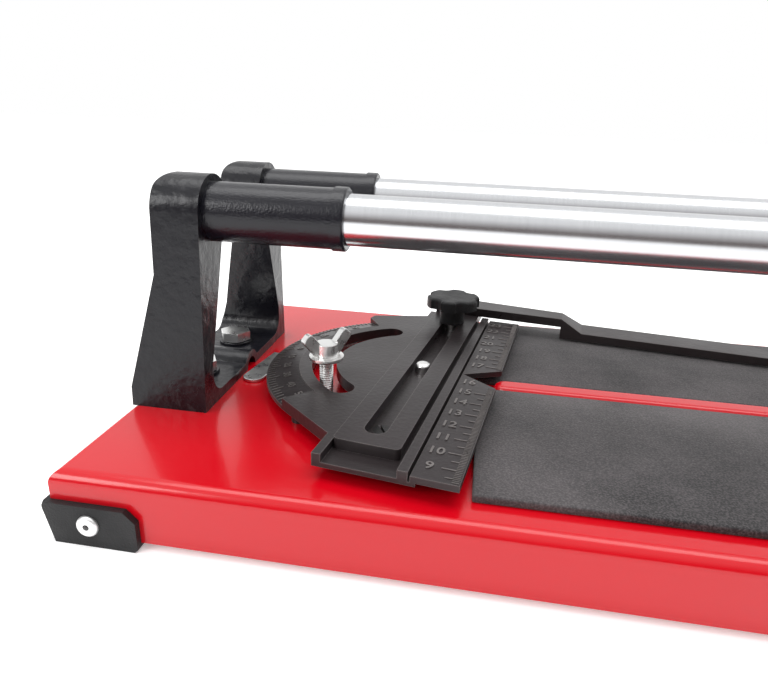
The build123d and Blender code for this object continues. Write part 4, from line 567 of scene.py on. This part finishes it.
# ---------------------------------------------------------------- camera, floor and lights
# The camera stands low in front of the left end and looks slightly down along the rails.
CAMERA_X = -0.2569
CAMERA_Y = -0.25155
CAMERA_Z = 0.13887
camera_data = bpy.data.cameras.new("camera")
camera = bpy.data.objects.new("camera", camera_data)
bpy.context.scene.collection.objects.link(camera)
camera_data.sensor_width = 36.0
camera_data.lens = 28.5
camera_data.clip_start = 0.01
yaw, pitch, roll = radians(8.614), radians(-20.511), radians(2.215)
forward = Vector((-sin(yaw) * cos(pitch), cos(yaw) * cos(pitch), sin(pitch)))
level_right = forward.cross(Vector((0, 0, 1))).normalized()
level_up = level_right.cross(forward)
right = level_right * cos(roll) + level_up * sin(roll)
upward = level_up * cos(roll) - level_right * sin(roll)
camera.matrix_world = Matrix((
    (right.x, upward.x, -forward.x, CAMERA_X),
    (right.y, upward.y, -forward.y, CAMERA_Y),
    (right.z, upward.z, -forward.z, CAMERA_Z),
    (0, 0, 0, 1),
))
bpy.context.scene.camera = camera

# White paper floor
bpy.ops.object.select_all(action="DESELECT")
bpy.ops.mesh.primitive_plane_add(size=12.0, location=(0, 0, 0))
floor = bpy.context.object
floor.name = "floor"
paper = bpy.data.materials.new("paper")
paper.use_nodes = True
paper_shader = paper.node_tree.nodes["Principled BSDF"]
paper_shader.inputs["Base Color"].default_value = (0.93, 0.93, 0.93, 1)
paper_shader.inputs["Roughness"].default_value = 0.9
paper_shader.inputs["Emission Color"].default_value = (1, 1, 1, 1)
paper_shader.inputs["Emission Strength"].default_value = 0.3
floor.data.materials.append(paper)

# White studio all round, with the unlit room in front of it for the chrome and paint to mirror
world = bpy.data.worlds.new("studio")
bpy.context.scene.world = world
world.use_nodes = True
tent = world.node_tree.nodes["Background"]
room_nodes, room_links = world.node_tree.nodes, world.node_tree.links
direction = room_nodes.new("ShaderNodeTexCoord")
axes = room_nodes.new("ShaderNodeSeparateXYZ")
towards_room = room_nodes.new("ShaderNodeMapRange")
towards_room.inputs["From Min"].default_value = 0.15
towards_room.inputs["From Max"].default_value = -0.4
near_horizon = room_nodes.new("ShaderNodeMapRange")
near_horizon.inputs["From Min"].default_value = 0.75
near_horizon.inputs["From Max"].default_value = 0.2
dark_part = room_nodes.new("ShaderNodeMath")
dark_part.operation = "MULTIPLY"
room_colour = room_nodes.new("ShaderNodeMix")
room_colour.data_type = "RGBA"
room_colour.inputs["A"].default_value = (1.0, 1.0, 1.0, 1)
room_colour.inputs["B"].default_value = (0.13, 0.10, 0.095, 1)
room_links.new(direction.outputs["Generated"], axes.inputs["Vector"])
room_links.new(axes.outputs["Y"], towards_room.inputs["Value"])
room_links.new(axes.outputs["Z"], near_horizon.inputs["Value"])
room_links.new(towards_room.outputs["Result"], dark_part.inputs[0])
room_links.new(near_horizon.outputs["Result"], dark_part.inputs[1])
# Only reflections see the dark part: the backdrop stays white from every side
ray = room_nodes.new("ShaderNodeLightPath")
mirrored = room_nodes.new("ShaderNodeMath")
mirrored.operation = "SUBTRACT"
mirrored.use_clamp = True
room_links.new(dark_part.outputs["Value"], mirrored.inputs[0])
room_links.new(ray.outputs["Is Camera Ray"], mirrored.inputs[1])
room_links.new(mirrored.outputs["Value"], room_colour.inputs["Factor"])
room_links.new(room_colour.outputs["Result"], tent.inputs["Color"])
tent.inputs["Strength"].default_value = 1.0
bpy.context.scene.view_settings.view_transform = "Standard"


def softbox(name, place, aim, size, power):
    """A rectangular diffused lamp that faces the point it is aimed at."""
    light = bpy.data.lights.new(name, "AREA")
    light.shape = "RECTANGLE"
    light.size, light.size_y = size
    light.energy = power
    lamp = bpy.data.objects.new(name, light)
    bpy.context.scene.collection.objects.link(lamp)
    lamp.location = place
    lamp.rotation_euler = (Vector(aim) - Vector(place)).to_track_quat("-Z", "Y").to_euler()


softbox("overhead", (-0.2, 0.1, 1.3), (-0.2, 0.0, 0.0), (1.6, 0.7), 11)
softbox("front_left", (-1.3, -1.0, 0.8), (-0.25, 0.0, 0.05), (0.7, 0.7), 10)
